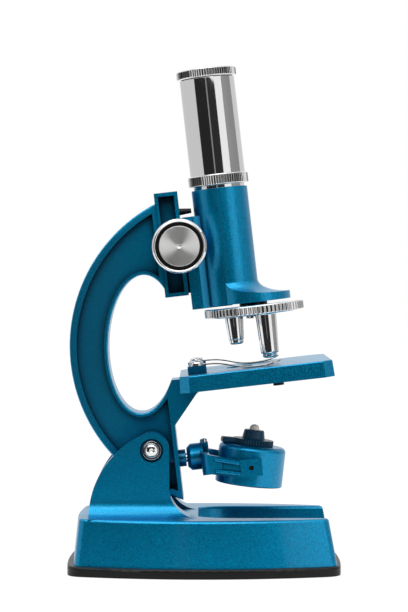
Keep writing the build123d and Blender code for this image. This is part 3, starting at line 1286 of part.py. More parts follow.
with BuildPart() as lamp_fork:
    with BuildSketch(level(0, LAMP_U)) as yoke:
        reach = fork_end_f - LUG_START_F
        with Locations((LUG_START_F + reach, 0)):
            RectangleRounded(2 * reach, 2 * FORK_OUTER, FORK_BEND)
        with Locations((LUG_END_F + reach, 0)):
            RectangleRounded(2 * reach, 2 * FORK_INNER, FORK_BEND - FORK_ARM_THICKNESS, mode=Mode.SUBTRACT)
    extrude(yoke.sketch, amount=2 * DRUM_RADIUS, both=True)
    arm_profile = fork_side(ARM_SIDE, LUG_START_F, 1, 2 * FORK_END_REACH)
    extrude(arm_profile, amount=FORK_OUTER, both=True, mode=Mode.INTERSECT)
    for side in (-1, 1):
        groove = fork_side(ARM_SIDE.offset(side * FORK_OUTER), LUG_END_F + FORK_BEND, FORK_GROOVE_SHARE)
        extrude(groove, amount=-side * FORK_GROOVE, mode=Mode.SUBTRACT)
    turned(
        ahead(HUB_START_F, LAMP_U),
        [
            (0, 0),
            (HUB_RADIUS - HUB_ROUND, 0),
            (HUB_RADIUS, HUB_ROUND),
            (HUB_RADIUS, HUB_END_F - HUB_START_F),
            (0, HUB_END_F - HUB_START_F),
        ],
    )
    lug_height = LUG_TOP_U - LUG_BOTTOM_U
    square_bar(level(lug_middle_f, LUG_BOTTOM_U), LUG_END_F - LUG_START_F, LUG_WIDTH, lug_height)
    hub_bore = LUG_START_F - HUB_START_F + FACE_GAP
    round_bar(ahead(HUB_START_F, LAMP_U), LAMP_SHAFT_RADIUS + SEAT_FIT, hub_bore, Mode.SUBTRACT)
    clamp_depth = lug_height - FORK_ARM_THICKNESS
    round_bar(level(lug_middle_f, LUG_TOP_U), CLAMP_RADIUS + SEAT_FIT, -clamp_depth, Mode.SUBTRACT)
    round_bar(across(DRUM_F, DRUM_U, -FORK_OUTER), PIN_RADIUS + RUNNING_FIT, 2 * FORK_OUTER, Mode.SUBTRACT)
lamp_fork.part.label = "lamp_fork"
export_step(lamp_fork.part, "parts/lamp_fork.step")

with BuildPart() as clamp_screw:
    round_bar(level(lug_middle_f, LUG_TOP_U), CLAMP_HEAD_RADIUS, CLAMP_HEAD_HEIGHT)
    round_bar(level(lug_middle_f, LUG_TOP_U), CLAMP_RADIUS, FACE_GAP - clamp_depth)
clamp_screw.part.label = "clamp_screw"
export_step(clamp_screw.part, "parts/clamp_screw.step")

# Lamp drum: lamp on one side, mirror on the other, turning on two pins in the fork
lean = radians(DRUM_LEAN)
DRUM = Plane(arm_point(DRUM_F, DRUM_U), x_dir=(cos(lean), 0, -sin(lean)), z_dir=(sin(lean), 0, cos(lean)))
drum_bottom = -DRUM_HEIGHT / 2
drum_top = DRUM_HEIGHT / 2
mirror_radius = DRUM_RADIUS - DRUM_WALL
drum_bore = mirror_radius - MIRROR_LEDGE
mirror_top = drum_bottom + MIRROR_INSET + MIRROR_THICKNESS
cap_top = drum_top + FACE_GAP + LAMP_CAP_THICKNESS
cone_top = cap_top + CONE_HEIGHT
bulb_bottom = cone_top + BULB_RISE - BULB_LENGTH
bulb_room = BULB_RADIUS + BULB_ROOM
pin_inner = DRUM_RADIUS - PIN_BOSS_LENGTH
pin_outer = FORK_OUTER - PIN_RECESS


def drum_side(side, y):
    """Plane on the drum's pivot axis at distance y, facing away from the middle."""
    return Plane(DRUM.origin + Vector(0, side * y, 0), z_dir=(0, side, 0))


with BuildPart() as lamp_drum:
    drum_outline = [
        (mirror_radius, drum_bottom),
        (DRUM_RADIUS, drum_bottom),
        (DRUM_RADIUS, drum_top),
        (LAMP_CAP_PLUG_RADIUS + RUNNING_FIT, drum_top),
        (LAMP_CAP_PLUG_RADIUS + RUNNING_FIT, drum_top - DRUM_ROOF),
        (drum_bore, drum_top - DRUM_ROOF),
        (drum_bore, mirror_top + FACE_GAP),
        (mirror_radius, mirror_top + FACE_GAP),
    ]
    turned(DRUM, drum_outline)
    rims = lamp_drum.edges().filter_by(lambda e: e.geom_type == GeomType.CIRCLE and e.radius > mirror_radius)
    rims_upward = rims.sort_by(Axis(DRUM.origin, DRUM.z_dir))
    fillet(rims_upward[-1], DRUM_ROUND)
    fillet(rims_upward[0], DRUM_RIM_ROUND)
    for side in (-1, 1):
        boss_length = PIN_BOSS_LENGTH - DRUM_WALL / 2
        round_bar(drum_side(side, pin_inner), PIN_BOSS_RADIUS, boss_length)
        round_bar(drum_side(side, pin_inner), PIN_RADIUS + SEAT_FIT, PIN_BOSS_LENGTH, Mode.SUBTRACT)
lamp_drum.part.label = "lamp_drum"
export_step(lamp_drum.part, "parts/lamp_drum.step")

with BuildPart() as drum_pins:
    for side in (-1, 1):
        round_bar(drum_side(side, pin_inner), PIN_RADIUS, pin_outer - pin_inner)
drum_pins.part.label = "drum_pins"
export_step(drum_pins.part, "parts/drum_pins.step")

with BuildPart() as mirror_disc:
    round_bar(DRUM.offset(drum_bottom + MIRROR_INSET), mirror_radius - SEAT_FIT, MIRROR_THICKNESS)
mirror_disc.part.label = "mirror_disc"
export_step(mirror_disc.part, "parts/mirror_disc.step")

with BuildPart() as mirror_ring:
    ring_plane = DRUM.offset(drum_bottom + MIRROR_INSET - MIRROR_RING_HEIGHT)
    ring_radius = mirror_radius - SEAT_FIT
    turned(ring_plane, tube_outline(ring_radius, ring_radius - MIRROR_RING_WALL, MIRROR_RING_HEIGHT))
mirror_ring.part.label = "mirror_ring"
export_step(mirror_ring.part, "parts/mirror_ring.step")

with BuildPart() as lamp_cap:
    cap_outline = [
        (bulb_room, drum_top - LAMP_CAP_PLUG),
        (LAMP_CAP_PLUG_RADIUS, drum_top - LAMP_CAP_PLUG),
        (LAMP_CAP_PLUG_RADIUS, drum_top + FACE_GAP),
        (LAMP_CAP_RADIUS, drum_top + FACE_GAP),
        (LAMP_CAP_RADIUS, cap_top),
        (CONE_RADIUS, cap_top),
        (CONE_TOP_RADIUS, cone_top),
        (bulb_room, cone_top),
    ]
    turned(DRUM, cap_outline)
    tab_turn = radians(TAB_ANGLE)
    tab_reach = TAB_REACH - TAB_LENGTH / 2
    tab_out = DRUM.x_dir * cos(tab_turn) + DRUM.y_dir * sin(tab_turn)
    tab_foot = DRUM.origin + tab_out * tab_reach + DRUM.z_dir * (drum_top + FACE_GAP)
    square_bar(Plane(tab_foot, x_dir=tab_out, z_dir=DRUM.z_dir), TAB_LENGTH, TAB_WIDTH, LAMP_CAP_THICKNESS)
lamp_cap.part.label = "lamp_cap"
export_step(lamp_cap.part, "parts/lamp_cap.step")

with BuildPart() as bulb:
    lens(DRUM.offset(bulb_bottom), BULB_RADIUS, BULB_LENGTH, BULB_RADIUS - BULB_ROOM)
bulb.part.label = "bulb"
export_step(bulb.part, "parts/bulb.step")

with BuildPart() as bulb_socket:
    socket_foot = PIN_BOSS_RADIUS + FACE_GAP
    socket_outline = [
        (0, socket_foot),
        (drum_bore - SEAT_FIT, socket_foot),
        (drum_bore - SEAT_FIT, socket_foot + SOCKET_BASE_THICKNESS),
        (SOCKET_RADIUS, socket_foot + SOCKET_BASE_THICKNESS),
        (SOCKET_RADIUS, bulb_bottom - FACE_GAP),
        (0, bulb_bottom - FACE_GAP),
    ]
    turned(DRUM, socket_outline)
bulb_socket.part.label = "bulb_socket"
export_step(bulb_socket.part, "parts/bulb_socket.step")
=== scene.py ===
import json
from math import atan, cos, pi, radians, sin

import bmesh
import bpy
from bpy.props import FloatProperty, FloatVectorProperty, IntProperty, PointerProperty
from mathutils import Matrix, Vector


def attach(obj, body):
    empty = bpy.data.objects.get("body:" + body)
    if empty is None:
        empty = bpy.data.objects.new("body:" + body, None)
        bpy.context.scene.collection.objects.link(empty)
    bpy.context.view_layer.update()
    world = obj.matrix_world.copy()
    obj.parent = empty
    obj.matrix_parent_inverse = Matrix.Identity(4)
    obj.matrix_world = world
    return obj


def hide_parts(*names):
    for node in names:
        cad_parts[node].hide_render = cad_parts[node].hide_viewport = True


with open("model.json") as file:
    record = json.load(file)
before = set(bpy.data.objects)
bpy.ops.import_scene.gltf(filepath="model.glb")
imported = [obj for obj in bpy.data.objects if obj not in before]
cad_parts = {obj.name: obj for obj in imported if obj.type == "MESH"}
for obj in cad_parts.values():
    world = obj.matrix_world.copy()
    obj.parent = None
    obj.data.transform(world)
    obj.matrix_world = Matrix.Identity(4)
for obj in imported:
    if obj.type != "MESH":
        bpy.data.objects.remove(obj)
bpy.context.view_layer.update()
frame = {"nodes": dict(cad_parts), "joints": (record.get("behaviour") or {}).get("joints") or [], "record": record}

bl_info = {
    "name": "Student Microscope",
    "version": (1, 0, 0),
    "blender": (4, 5, 0),
    "location": "View3D > Sidebar > Microscope",
    "description": "Dresses the packed frame of a student microscope and sets up its studio",
    "category": "Object",
}

MM = 0.001
JOINTS = {joint["name"]: joint for joint in frame["joints"]}
BODY_OF = {node: body for body, nodes in frame["record"]["behaviour"]["bodies"].items() for node in nodes}
SLOT_OF = {part["node"]: part["material_slot"] for part in frame["record"]["subparts"]}

# The arm leans back: forward and upward run along the stage and along the body tube.
PIVOT = Vector(JOINTS["arm_tilt"]["pos_m"])
UPWARD = Vector(JOINTS["focus_slide"]["axis"])
ACROSS = Vector((0, 1, 0))
FORWARD = ACROSS.cross(UPWARD)
DRUM_CENTRE = Vector(JOINTS["drum_flip"]["pos_m"])
DRUM_AXIS = Vector(JOINTS["lamp_cap_twist"]["axis"])
KNOB_CENTRE = Vector(JOINTS["knob_turn"]["pos_m"])


def linear(hex_code):
    """Linear red, green and blue of an sRGB hex colour."""
    channels = [int(hex_code[i : i + 2], 16) / 255 for i in (1, 3, 5)]
    return [c / 12.92 if c <= 0.04045 else ((c + 0.055) / 1.055) ** 2.4 for c in channels]


def arm_point(f, u, y=0.0):
    """World place of a point given in millimetres forward, upward and across from the pivot."""
    return PIVOT + (FORWARD * f + UPWARD * u + ACROSS * y) * MM


def add_node(tree, kind, inputs=None, **settings):
    """Add a node with its settings; an input is a value or the socket that is linked to it."""
    node = tree.nodes.new(kind)
    for name, value in settings.items():
        setattr(node, name, value)
    for name, value in (inputs or {}).items():
        if isinstance(value, bpy.types.NodeSocket):
            tree.links.new(value, node.inputs[name])
        else:
            node.inputs[name].default_value = value
    return node


def colour_property(name, hex_code, description):
    """A colour that a user may change, with its default given as sRGB hex."""
    return FloatVectorProperty(
        name=name, description=description, subtype="COLOR", size=3, min=0, max=1, default=linear(hex_code)
    )


def length_property(name, millimetres, description):
    """A length that a user may change, in metres, with its default given in millimetres."""
    return FloatProperty(
        name=name, description=description, subtype="DISTANCE", unit="LENGTH", min=0, default=millimetres * MM
    )


def place_property(name, metres, description):
    """A coordinate that a user may change, in metres."""
    return FloatProperty(
        name=name, description=description, subtype="DISTANCE", unit="LENGTH", default=metres
    )


def power_property(name, watts, description):
    """A lamp's power that a user may change, in watts."""
    return FloatProperty(
        name=name, description=description, subtype="POWER", unit="POWER", min=0, default=watts
    )


def count_property(name, count, description):
    """A number of flutes that a user may change."""
    return IntProperty(name=name, description=description, min=12, default=count)


class FinishColours(bpy.types.PropertyGroup):
    """Colours of the microscope's finishes."""

    lacquer: colour_property("Lacquer", "#009bc8", "Blue of the metallic lacquer on the castings")
    lacquer_deep: colour_property("Lacquer deep", "#00709f", "Darker flakes in the metallic lacquer")
    # Painted shade: the colour that ambient occlusion mixes into the lacquer in recesses and corners.
    lacquer_painted_shade: colour_property("Lacquer shade", "#00283c", "Lacquer that pooled in recesses and corners")
    chrome: colour_property("Chrome", "#e6e6e6", "Reflection colour of the chrome plate")
    aluminium: colour_property("Aluminium", "#dededc", "Reflection colour of the spun aluminium discs")
    steel: colour_property("Steel", "#c8c8c4", "Reflection colour of the bright rolled steel")
    black: colour_property("Black plastic", "#0d0d0e", "Moulded plate, rings and discs")
    navy: colour_property("Navy plastic", "#063850", "Moulded lamp cap")
    brass: colour_property("Brass", "#d8b46a", "Turned bushes and bulb base")
    sleeve: colour_property("Cell sleeve", "#2c2c30", "Plain sleeve of the battery cells")
    opal: colour_property("Opal glass", "#f2eadd", "Milky glass of the bulb")
    floor: colour_property("Floor", "#f4f4f4", "Studio floor")


class KnurlSizes(bpy.types.PropertyGroup):
    """Straight knurls on the turned rims."""

    eyepiece_flutes: count_property("Eyepiece flutes", 72, "Flutes round the eyepiece cap and the collar")
    knob_flutes: count_property("Knob flutes", 72, "Flutes round a focus knob")
    turret_flutes: count_property("Turret flutes", 72, "Flutes round the turret disc")
    lamp_flutes: count_property("Lamp flutes", 44, "Flutes round the lamp cap")
    depth: length_property("Knurl depth", 0.5, "Depth of the flutes")


# Materials


def principled(name, colour, **sockets):
    """New material with a Principled shader; returns the material, its tree and the shader."""
    material = bpy.data.materials.new(name)
    material.use_nodes = True
    tree = material.node_tree
    shader = tree.nodes["Principled BSDF"]
    shader.inputs["Base Color"].default_value = [*colour, 1]
    for socket, value in sockets.items():
        shader.inputs[socket.replace("_", " ")].default_value = value
    return material, tree, shader


def grain(tree, shader, size_mm, roughness, relief=0.0, depth_mm=0.02, detail=2.0):
    """Grain of a real size on a shader: it varies the roughness and, with relief, the surface.

    Returns the grain's value, for colours that follow it.
    """
    place = add_node(tree, "ShaderNodeTexCoord")
    inputs = {"Vector": place.outputs["Object"], "Scale": 1 / (size_mm * MM), "Detail": detail}
    noise = add_node(tree, "ShaderNodeTexNoise", inputs).outputs["Fac"]
    low, high = roughness
    inputs = {"Value": noise, "From Min": 0.3, "From Max": 0.7, "To Min": low, "To Max": high}
    gloss = add_node(tree, "ShaderNodeMapRange", inputs)
    tree.links.new(gloss.outputs["Result"], shader.inputs["Roughness"])
    if relief:
        inputs = {"Height": noise, "Strength": relief, "Distance": depth_mm * MM}
        surface = add_node(tree, "ShaderNodeBump", inputs)
        tree.links.new(surface.outputs["Normal"], shader.inputs["Normal"])
    return noise


def metallic_lacquer(colours):
    """Stoved metallic lacquer on zinc die casting, under a clear coat.

    Aluminium flakes in the blue give a soft metallic sheen with a fine grain; the clear coat
    over them has a thin sharper gloss. The flakes are drawn about ten times too coarse, so that they show.
    In recesses and along inner corners ambient occlusion darkens the colour: painted shade.
    """
    material, tree, shader = principled(
        "metallic_lacquer",
        colours.lacquer,
        Metallic=0.94,
        Coat_Weight=0.32,
        Coat_Roughness=0.12,
        Coat_IOR=1.5,
    )
    flakes = grain(tree, shader, 0.34, (0.34, 0.46), relief=0.2, depth_mm=0.01, detail=1.0)
    shares = add_node(tree, "ShaderNodeMapRange", {"Value": flakes, "From Min": 0.36, "From Max": 0.64})
    inputs = {0: shares.outputs["Result"], 6: [*colours.lacquer_deep, 1], 7: [*colours.lacquer, 1]}
    tint = add_node(tree, "ShaderNodeMix", inputs, data_type="RGBA")
    # Painted shade: ambient occlusion mixes the shade colour into the lacquer in recesses and inner corners.
    hollow = add_node(tree, "ShaderNodeAmbientOcclusion", {"Distance": 9.0 * MM}, samples=8, only_local=True)
    inputs = {"Value": hollow.outputs["AO"], "From Min": 0.35, "From Max": 0.9}
    open_share = add_node(tree, "ShaderNodeMapRange", inputs)
    inputs = {0: open_share.outputs["Result"], 6: [*colours.lacquer_painted_shade, 1], 7: tint.outputs[2]}
    darkened_by_painted_shade = add_node(tree, "ShaderNodeMix", inputs, data_type="RGBA")
    tree.links.new(darkened_by_painted_shade.outputs[2], shader.inputs["Base Color"])
    return material


def chrome_plate(colours):
    """Bright chrome plate on turned brass and on moulded rings: a near mirror with a faint haze."""
    material, tree, shader = principled("chrome_plate", colours.chrome, Metallic=1.0)
    grain(tree, shader, 6.0, (0.035, 0.09), detail=3.0)
    return material


def rolled_steel(colours):
    """Bright rolled spring steel: a fine rolled grain softens the reflection."""
    material, tree, shader = principled("rolled_steel", colours.steel, Metallic=1.0)
    grain(tree, shader, 0.5, (0.15, 0.28))
    return material


def moulded_plastic(name, colour, roughness):
    """Moulded ABS from a spark-eroded mould: satin, with a grit of about a third of a millimetre."""
    material, tree, shader = principled(name, colour, IOR=1.46, Specular_IOR_Level=0.3)
    grain(tree, shader, 0.35, (roughness - 0.06, roughness + 0.06), relief=0.35)
    return material


def spun_aluminium(colours):
    """Spun aluminium: turned rings about 0.2 mm apart fan the light out from the centre of the disc."""
    material, tree, shader = principled(
        "spun_aluminium", colours.aluminium, Metallic=1.0, Roughness=0.42, Anisotropic=0.93
    )
    tangent = add_node(tree, "ShaderNodeTangent", direction_type="UV_MAP", uv_map="turning")
    tree.links.new(tangent.outputs["Tangent"], shader.inputs["Tangent"])
    rings = add_node(tree, "ShaderNodeUVMap", uv_map="turning")
    stretch = add_node(tree, "ShaderNodeMapping", {"Vector": rings.outputs["UV"], "Scale": (2.0, 90.0, 1.0)})
    inputs = {"Vector": stretch.outputs["Vector"], "Scale": 1.0, "Detail": 2.0}
    grooves = add_node(tree, "ShaderNodeTexNoise", inputs).outputs["Fac"]
    inputs = {"Height": grooves, "Strength": 0.4, "Distance": 0.02 * MM}
    surface = add_node(tree, "ShaderNodeBump", inputs)
    tree.links.new(surface.outputs["Normal"], shader.inputs["Normal"])
    return material


def turned_brass(colours):
    """Turned brass: warm metal with a satin turned finish."""
    material, tree, shader = principled("turned_brass", colours.brass, Metallic=1.0)
    grain(tree, shader, 0.6, (0.18, 0.32))
    return material


def crown_glass():
    """Polished crown glass: clear, with the sharp reflection of an IOR of 1.52 and a trace of haze."""
    material, tree, shader = principled("crown_glass", (0.96, 0.98, 0.98), IOR=1.52, Transmission_Weight=1.0)
    grain(tree, shader, 4.0, (0.0, 0.03))
    return material


def opal_glass(colours):
    """Opal bulb glass: milky and warm, so that the lamp's tip reads pale under a clean gloss."""
    material, tree, shader = principled("opal_glass", colours.opal, IOR=1.5, Transmission_Weight=0.25)
    grain(tree, shader, 1.5, (0.08, 0.18))
    return material


def silvered_glass(colours):
    """Silvered mirror glass: the silver behind a thin sheet of glass, with a trace of dust."""
    material, tree, shader = principled("silvered_glass", colours.chrome, Metallic=1.0)
    grain(tree, shader, 2.5, (0.01, 0.06), detail=3.0)
    return material


def cell_sleeve(colours):
    """Shrink sleeve of a battery cell: glossy film over the can."""
    material, tree, shader = principled("cell_sleeve", colours.sleeve, IOR=1.5)
    grain(tree, shader, 5.0, (0.2, 0.34))
    return material


FINISHES = {}


def mix_finishes(colours):
    """Make the materials and say which record slot each one finishes."""
    FINISHES.update(
        blue_lacquer=metallic_lacquer(colours),
        black_plastic=moulded_plastic("moulded_black_abs", colours.black, 0.38),
        dark_blue_plastic=moulded_plastic("moulded_navy_abs", colours.navy, 0.32),
        chrome=chrome_plate(colours),
        spun_aluminium=spun_aluminium(colours),
        steel=rolled_steel(colours),
        brass=turned_brass(colours),
        cell_label=cell_sleeve(colours),
        lens_glass=crown_glass(),
        mirror=silvered_glass(colours),
    )


# Meshes


def finish_mesh(mesh, material, sharp_degrees=32.0):
    """Close a mesh, face it outwards, shade it smooth up to an angle and give it its material."""
    if "custom_normal" in mesh.attributes:
        mesh.attributes.remove(mesh.attributes["custom_normal"])
    shell = bmesh.new()
    shell.from_mesh(mesh)
    bmesh.ops.remove_doubles(shell, verts=shell.verts, dist=0.002 * MM)
    bmesh.ops.recalc_face_normals(shell, faces=shell.faces)
    for face in shell.faces:
        face.smooth = True
    shell.to_mesh(mesh)
    shell.free()
    mesh.set_sharp_from_angle(angle=radians(sharp_degrees))
    mesh.materials.clear()
    mesh.materials.append(material)
    return mesh


def add_piece(mesh, name, *nodes):
    """Show a mesh as a piece that stands for CAD nodes and rides on their body."""
    piece = bpy.data.objects.new(name, mesh)
    bpy.context.scene.collection.objects.link(piece)
    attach(piece, BODY_OF[nodes[0]])
    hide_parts(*nodes)
    return piece


def plain_mesh(work):
    """Plain mesh of a work object with its modifiers applied; the work object goes."""
    bpy.context.scene.collection.objects.link(work)
    bpy.context.view_layer.update()
    evaluated = work.evaluated_get(bpy.context.evaluated_depsgraph_get())
    mesh = bpy.data.meshes.new_from_object(evaluated)
    work.modifiers.clear()
    bpy.data.objects.remove(work)
    return mesh


def joined(meshes):
    """One mesh of several; the parts go."""
    whole = bmesh.new()
    for mesh in meshes:
        whole.from_mesh(mesh)
    result = bpy.data.meshes.new(meshes[0].name)
    whole.to_mesh(result)
    whole.free()
    for mesh in meshes:
        bpy.data.meshes.remove(mesh)
    return result


def combined(mesh, other, operation):
    """Plain mesh of two closed meshes, joined or cut one from the other."""
    tool = bpy.data.objects.new("tool", other)
    bpy.context.scene.collection.objects.link(tool)
    work = bpy.data.objects.new(mesh.name, mesh)
    change = work.modifiers.new(operation.lower(), "BOOLEAN")
    change.operation = operation
    change.solver = "EXACT"
    change.object = tool
    result = plain_mesh(work)
    bpy.data.objects.remove(tool)
    return result


def standing(place, axis, ahead=FORWARD):
    """Matrix that stands a shape made along Z on a place, with its X turned towards ahead."""
    up = axis.normalized()
    side = up.cross(ahead).normalized()
    turn = Matrix((side.cross(up), side, up)).transposed()
    return Matrix.Translation(place) @ turn.to_4x4()


def eased(profile, cut, steps=3):
    """Closed profile in millimetres with each corner eased over a short cut."""
    points = []
    for index, corner in enumerate(profile):
        corner = Vector(corner)
        before = Vector(profile[index - 1])
        after = Vector(profile[(index + 1) % len(profile)])
        back = min(cut, 0.4 * (before - corner).length)
        on = min(cut, 0.4 * (after - corner).length)
        start = corner + (before - corner).normalized() * back
        end = corner + (after - corner).normalized() * on
        for step in range(steps + 1):
            share = step / steps
            points.append(start.lerp(corner, share).lerp(corner.lerp(end, share), share))
    return points


def turned_mesh(name, profile, segments):
    """Mesh turned about Z from a closed profile of radius and height in millimetres.

    Its UV map named turning runs round the axis in u and along the profile in v.
    """
    lengths = [0.0]
    for start, end in zip(profile, [*profile[1:], profile[0]]):
        lengths.append(lengths[-1] + (Vector(end) - Vector(start)).length)
    blank = bmesh.new()
    uv = blank.loops.layers.uv.new("turning")
    rings = []
    for step in range(segments):
        angle = 2 * pi * step / segments
        ring = [blank.verts.new((r * cos(angle) * MM, r * sin(angle) * MM, h * MM)) for r, h in profile]
        rings.append(ring)
    for step in range(segments):
        here, there = rings[step], rings[(step + 1) % segments]
        for k in range(len(profile)):
            n = (k + 1) % len(profile)
            face = blank.faces.new((here[k], there[k], there[n], here[n]))
            marks = ((step, k), (step + 1, k), (step + 1, k + 1), (step, k + 1))
            for loop, (turn, along) in zip(face.loops, marks):
                loop[uv].uv = (turn / segments, lengths[along] / lengths[-1])
    mesh = bpy.data.meshes.new(name)
    blank.to_mesh(mesh)
    blank.free()
    return mesh


def turned_piece(name, profile, place, axis, *nodes, segments=96, ease=0.15):
    """Turned piece at a place on an axis that stands for CAD nodes."""
    mesh = turned_mesh(name, eased(profile, ease), segments)
    mesh.transform(standing(place, axis))
    return add_piece(finish_mesh(mesh, FINISHES[SLOT_OF[nodes[0]]]), name, *nodes)


# Studio


class StudioSizes(bpy.types.PropertyGroup):
    """Camera and lights of the studio."""

    camera_x: place_property("Camera X", -0.001, "Place of the camera along the object")
    camera_y: place_property("Camera Y", -0.9, "Place of the camera in front of the object")
    camera_z: place_property("Camera Z", 0.1297, "Height of the camera")
    aim_x: place_property("Aim X", 0.0, "Point in the middle plane at the frame's centre")
    aim_z: place_property("Aim Z", 0.1121, "Height at the frame's centre")
    frame_height: length_property("Frame height", 263.0, "Height of the middle plane that the frame takes in")
    ambient: FloatProperty(
        name="Ambient", description="Strength of the studio's even light", min=0, default=0.4
    )
    softbox_power: power_property("Softbox", 3.5, "Power of the tall softbox")
    front_power: power_property("Front light", 3.4, "Power of the light over the camera")
    top_power: power_property("Top light", 6.0, "Power of the light overhead")


def seen_rays(tree):
    """Socket that is 1 for camera, glossy and transmission rays."""
    path = add_node(tree, "ShaderNodeLightPath")
    seen = path.outputs["Is Camera Ray"]
    for output in ("Is Glossy Ray", "Is Transmission Ray"):
        larger = add_node(tree, "ShaderNodeMath", {0: seen, 1: path.outputs[output]}, operation="MAXIMUM")
        seen = larger.outputs["Value"]
    return seen


def white_room(studio):
    """World that is white where it is seen and lights the object evenly."""
    world = bpy.data.worlds.new("white_room")
    bpy.context.scene.world = world
    world.use_nodes = True
    tree = world.node_tree
    tree.nodes.clear()
    strength = add_node(tree, "ShaderNodeMapRange", {"Value": seen_rays(tree), "To Min": studio.ambient})
    inputs = {"Color": (1, 1, 1, 1), "Strength": strength.outputs["Result"]}
    background = add_node(tree, "ShaderNodeBackground", inputs)
    add_node(tree, "ShaderNodeOutputWorld", {"Surface": background.outputs["Background"]})


# Floor: level just under the base, reach, grey that keeps the shadow, and glow near and far off
FLOOR_LEVEL = -0.0002
FLOOR_REACH = 6.0
SHADOW_GREY = 0.22
FLOOR_GLOW = ((0.15, 0.86), (1.5, 0.93))


def floor_material(colours):
    """White painted board that keeps the shadow and glows to the eye, a little more far off."""
    material = bpy.data.materials.new("white_board")
    material.use_nodes = True
    tree = material.node_tree
    tree.nodes.clear()
    board = add_node(tree, "ShaderNodeBsdfDiffuse", {"Color": [*colours.floor, 1]})
    shade = add_node(tree, "ShaderNodeBsdfDiffuse", {"Color": (*[SHADOW_GREY] * 3, 1)})
    place = add_node(tree, "ShaderNodeTexCoord")
    away = add_node(tree, "ShaderNodeVectorMath", {0: place.outputs["Object"]}, operation="LENGTH")
    (near, near_glow), (far, far_glow) = FLOOR_GLOW
    inputs = {"Value": away.outputs["Value"], "From Min": near, "From Max": far}
    inputs.update({"To Min": near_glow, "To Max": far_glow})
    fade = add_node(tree, "ShaderNodeMapRange", inputs)
    glow = add_node(tree, "ShaderNodeEmission", {"Color": (1, 1, 1, 1), "Strength": fade.outputs["Result"]})
    lit = add_node(tree, "ShaderNodeAddShader", {0: shade.outputs["BSDF"], 1: glow.outputs["Emission"]})
    inputs = {0: seen_rays(tree), 1: board.outputs["BSDF"], 2: lit.outputs["Shader"]}
    choice = add_node(tree, "ShaderNodeMixShader", inputs)
    add_node(tree, "ShaderNodeOutputMaterial", {"Surface": choice.outputs["Shader"]})
    return material


def stage_mesh(name, corners, faces, material):
    """Mesh that belongs to the studio, not to the object."""
    mesh = bpy.data.meshes.new(name)
    mesh.from_pydata(corners, [], faces)
    mesh.materials.append(material)
    board = bpy.data.objects.new(name, mesh)
    bpy.context.scene.collection.objects.link(board)
    return board


def curved_drape(name, start_degrees, end_degrees, low_edge, high_edge, grey):
    """Curved drape round the object that only reflections see; 0 degrees is towards the camera.

    Each edge is a radius and a height, so that a drape stands upright or lies on the floor.
    """
    material = bpy.data.materials.new(name)
    material.use_nodes = True
    tree = material.node_tree
    tree.nodes.clear()
    cloth = add_node(tree, "ShaderNodeEmission", {"Color": (grey, grey, grey, 1)})
    add_node(tree, "ShaderNodeOutputMaterial", {"Surface": cloth.outputs["Emission"]})
    corners = []
    for step in range(DRAPE_STEPS + 1):
        angle = radians(start_degrees + (end_degrees - start_degrees) * step / DRAPE_STEPS)
        corners += [(r * sin(angle), -r * cos(angle), z) for r, z in (low_edge, high_edge)]
    faces = [(2 * k, 2 * k + 2, 2 * k + 3, 2 * k + 1) for k in range(DRAPE_STEPS)]
    drape = stage_mesh(name, corners, faces, material)
    drape.visible_camera = False
    drape.visible_diffuse = False
    drape.visible_shadow = False


# Drapes for the metal to reflect: name, start and end in degrees from the camera, height and grey
DRAPE_RADIUS = 0.62
DRAPES = (
    ("left_drape", -158, -57, 0.40, 0.68),
    ("dark_drape_left", -57, -10, 0.40, 0.022),
    ("drape_seam", -10, -5, 0.40, 0.28),
    ("dark_drape_right", -5, 27, 0.40, 0.03),
    ("grey_drape", 58, 110, 0.55, 0.30),
    ("right_drape", 110, 158, 0.55, 0.72),
)
# Dark cloth on the floor: start and end in degrees, the radius where it begins, its height and grey
APRON = (-57, 27, 0.2, 0.001, 0.03)
DRAPE_STEPS = 24

# Lights: name, place, width and height
LIGHTS = (
    ("softbox", (1.07, -0.43, 0.45), 0.4, 0.9),
    ("front_light", (-0.1, -0.75, 0.75), 1.0, 0.4),
    ("top_light", (-0.1, -0.25, 1.3), 1.2, 1.0),
)
LIGHT_TARGET = (0, 0, 0.1)


def area_light(name, place, width, height, power):
    """Soft rectangular light that points at the middle of the object."""
    lamp = bpy.data.lights.new(name, "AREA")
    lamp.shape = "RECTANGLE"
    lamp.size = width
    lamp.size_y = height
    lamp.energy = power
    light = bpy.data.objects.new(name, lamp)
    bpy.context.scene.collection.objects.link(light)
    light.location = place
    light.rotation_euler = (Vector(LIGHT_TARGET) - Vector(place)).to_track_quat("-Z", "Y").to_euler()


class MICROSCOPE_OT_stage(bpy.types.Operator):
    """Set up the floor, the lights and the camera"""

    bl_idname = "microscope.stage"
    bl_label = "Studio"

    def execute(self, context):
        studio = context.scene.microscope_studio
        colours = context.scene.microscope_colours
        context.scene.view_settings.view_transform = "Standard"
        white_room(studio)
        plan = ((-1, -1), (1, -1), (1, 1), (-1, 1))
        corners = [(x * FLOOR_REACH, y * FLOOR_REACH, FLOOR_LEVEL) for x, y in plan]
        stage_mesh("studio_floor", corners, [(0, 1, 2, 3)], floor_material(colours))
        for name, start, end, high, grey in DRAPES:
            curved_drape(name, start, end, (DRAPE_RADIUS, 0.0), (DRAPE_RADIUS, high), grey)
        start, end, near, level, grey = APRON
        curved_drape("dark_apron", start, end, (near, level), (DRAPE_RADIUS, level), grey)
        powers = (studio.softbox_power, studio.front_power, studio.top_power)
        for light, power in zip(LIGHTS, powers):
            area_light(*light, power)
        lens = bpy.data.cameras.new("camera")
        lens.sensor_fit = "VERTICAL"
        camera = bpy.data.objects.new("camera", lens)
        context.scene.collection.objects.link(camera)
        place = Vector((studio.camera_x, studio.camera_y, studio.camera_z))
        aim = Vector((studio.aim_x, 0, studio.aim_z)) - place
        lens.angle_y = 2 * atan(studio.frame_height / 2 / aim.length)
        lens.clip_start = 0.05
        camera.location = place
        camera.rotation_euler = aim.to_track_quat("-Z", "Y").to_euler()
        context.scene.camera = camera
        return {"FINISHED"}


# Repeats made by Geometry Nodes


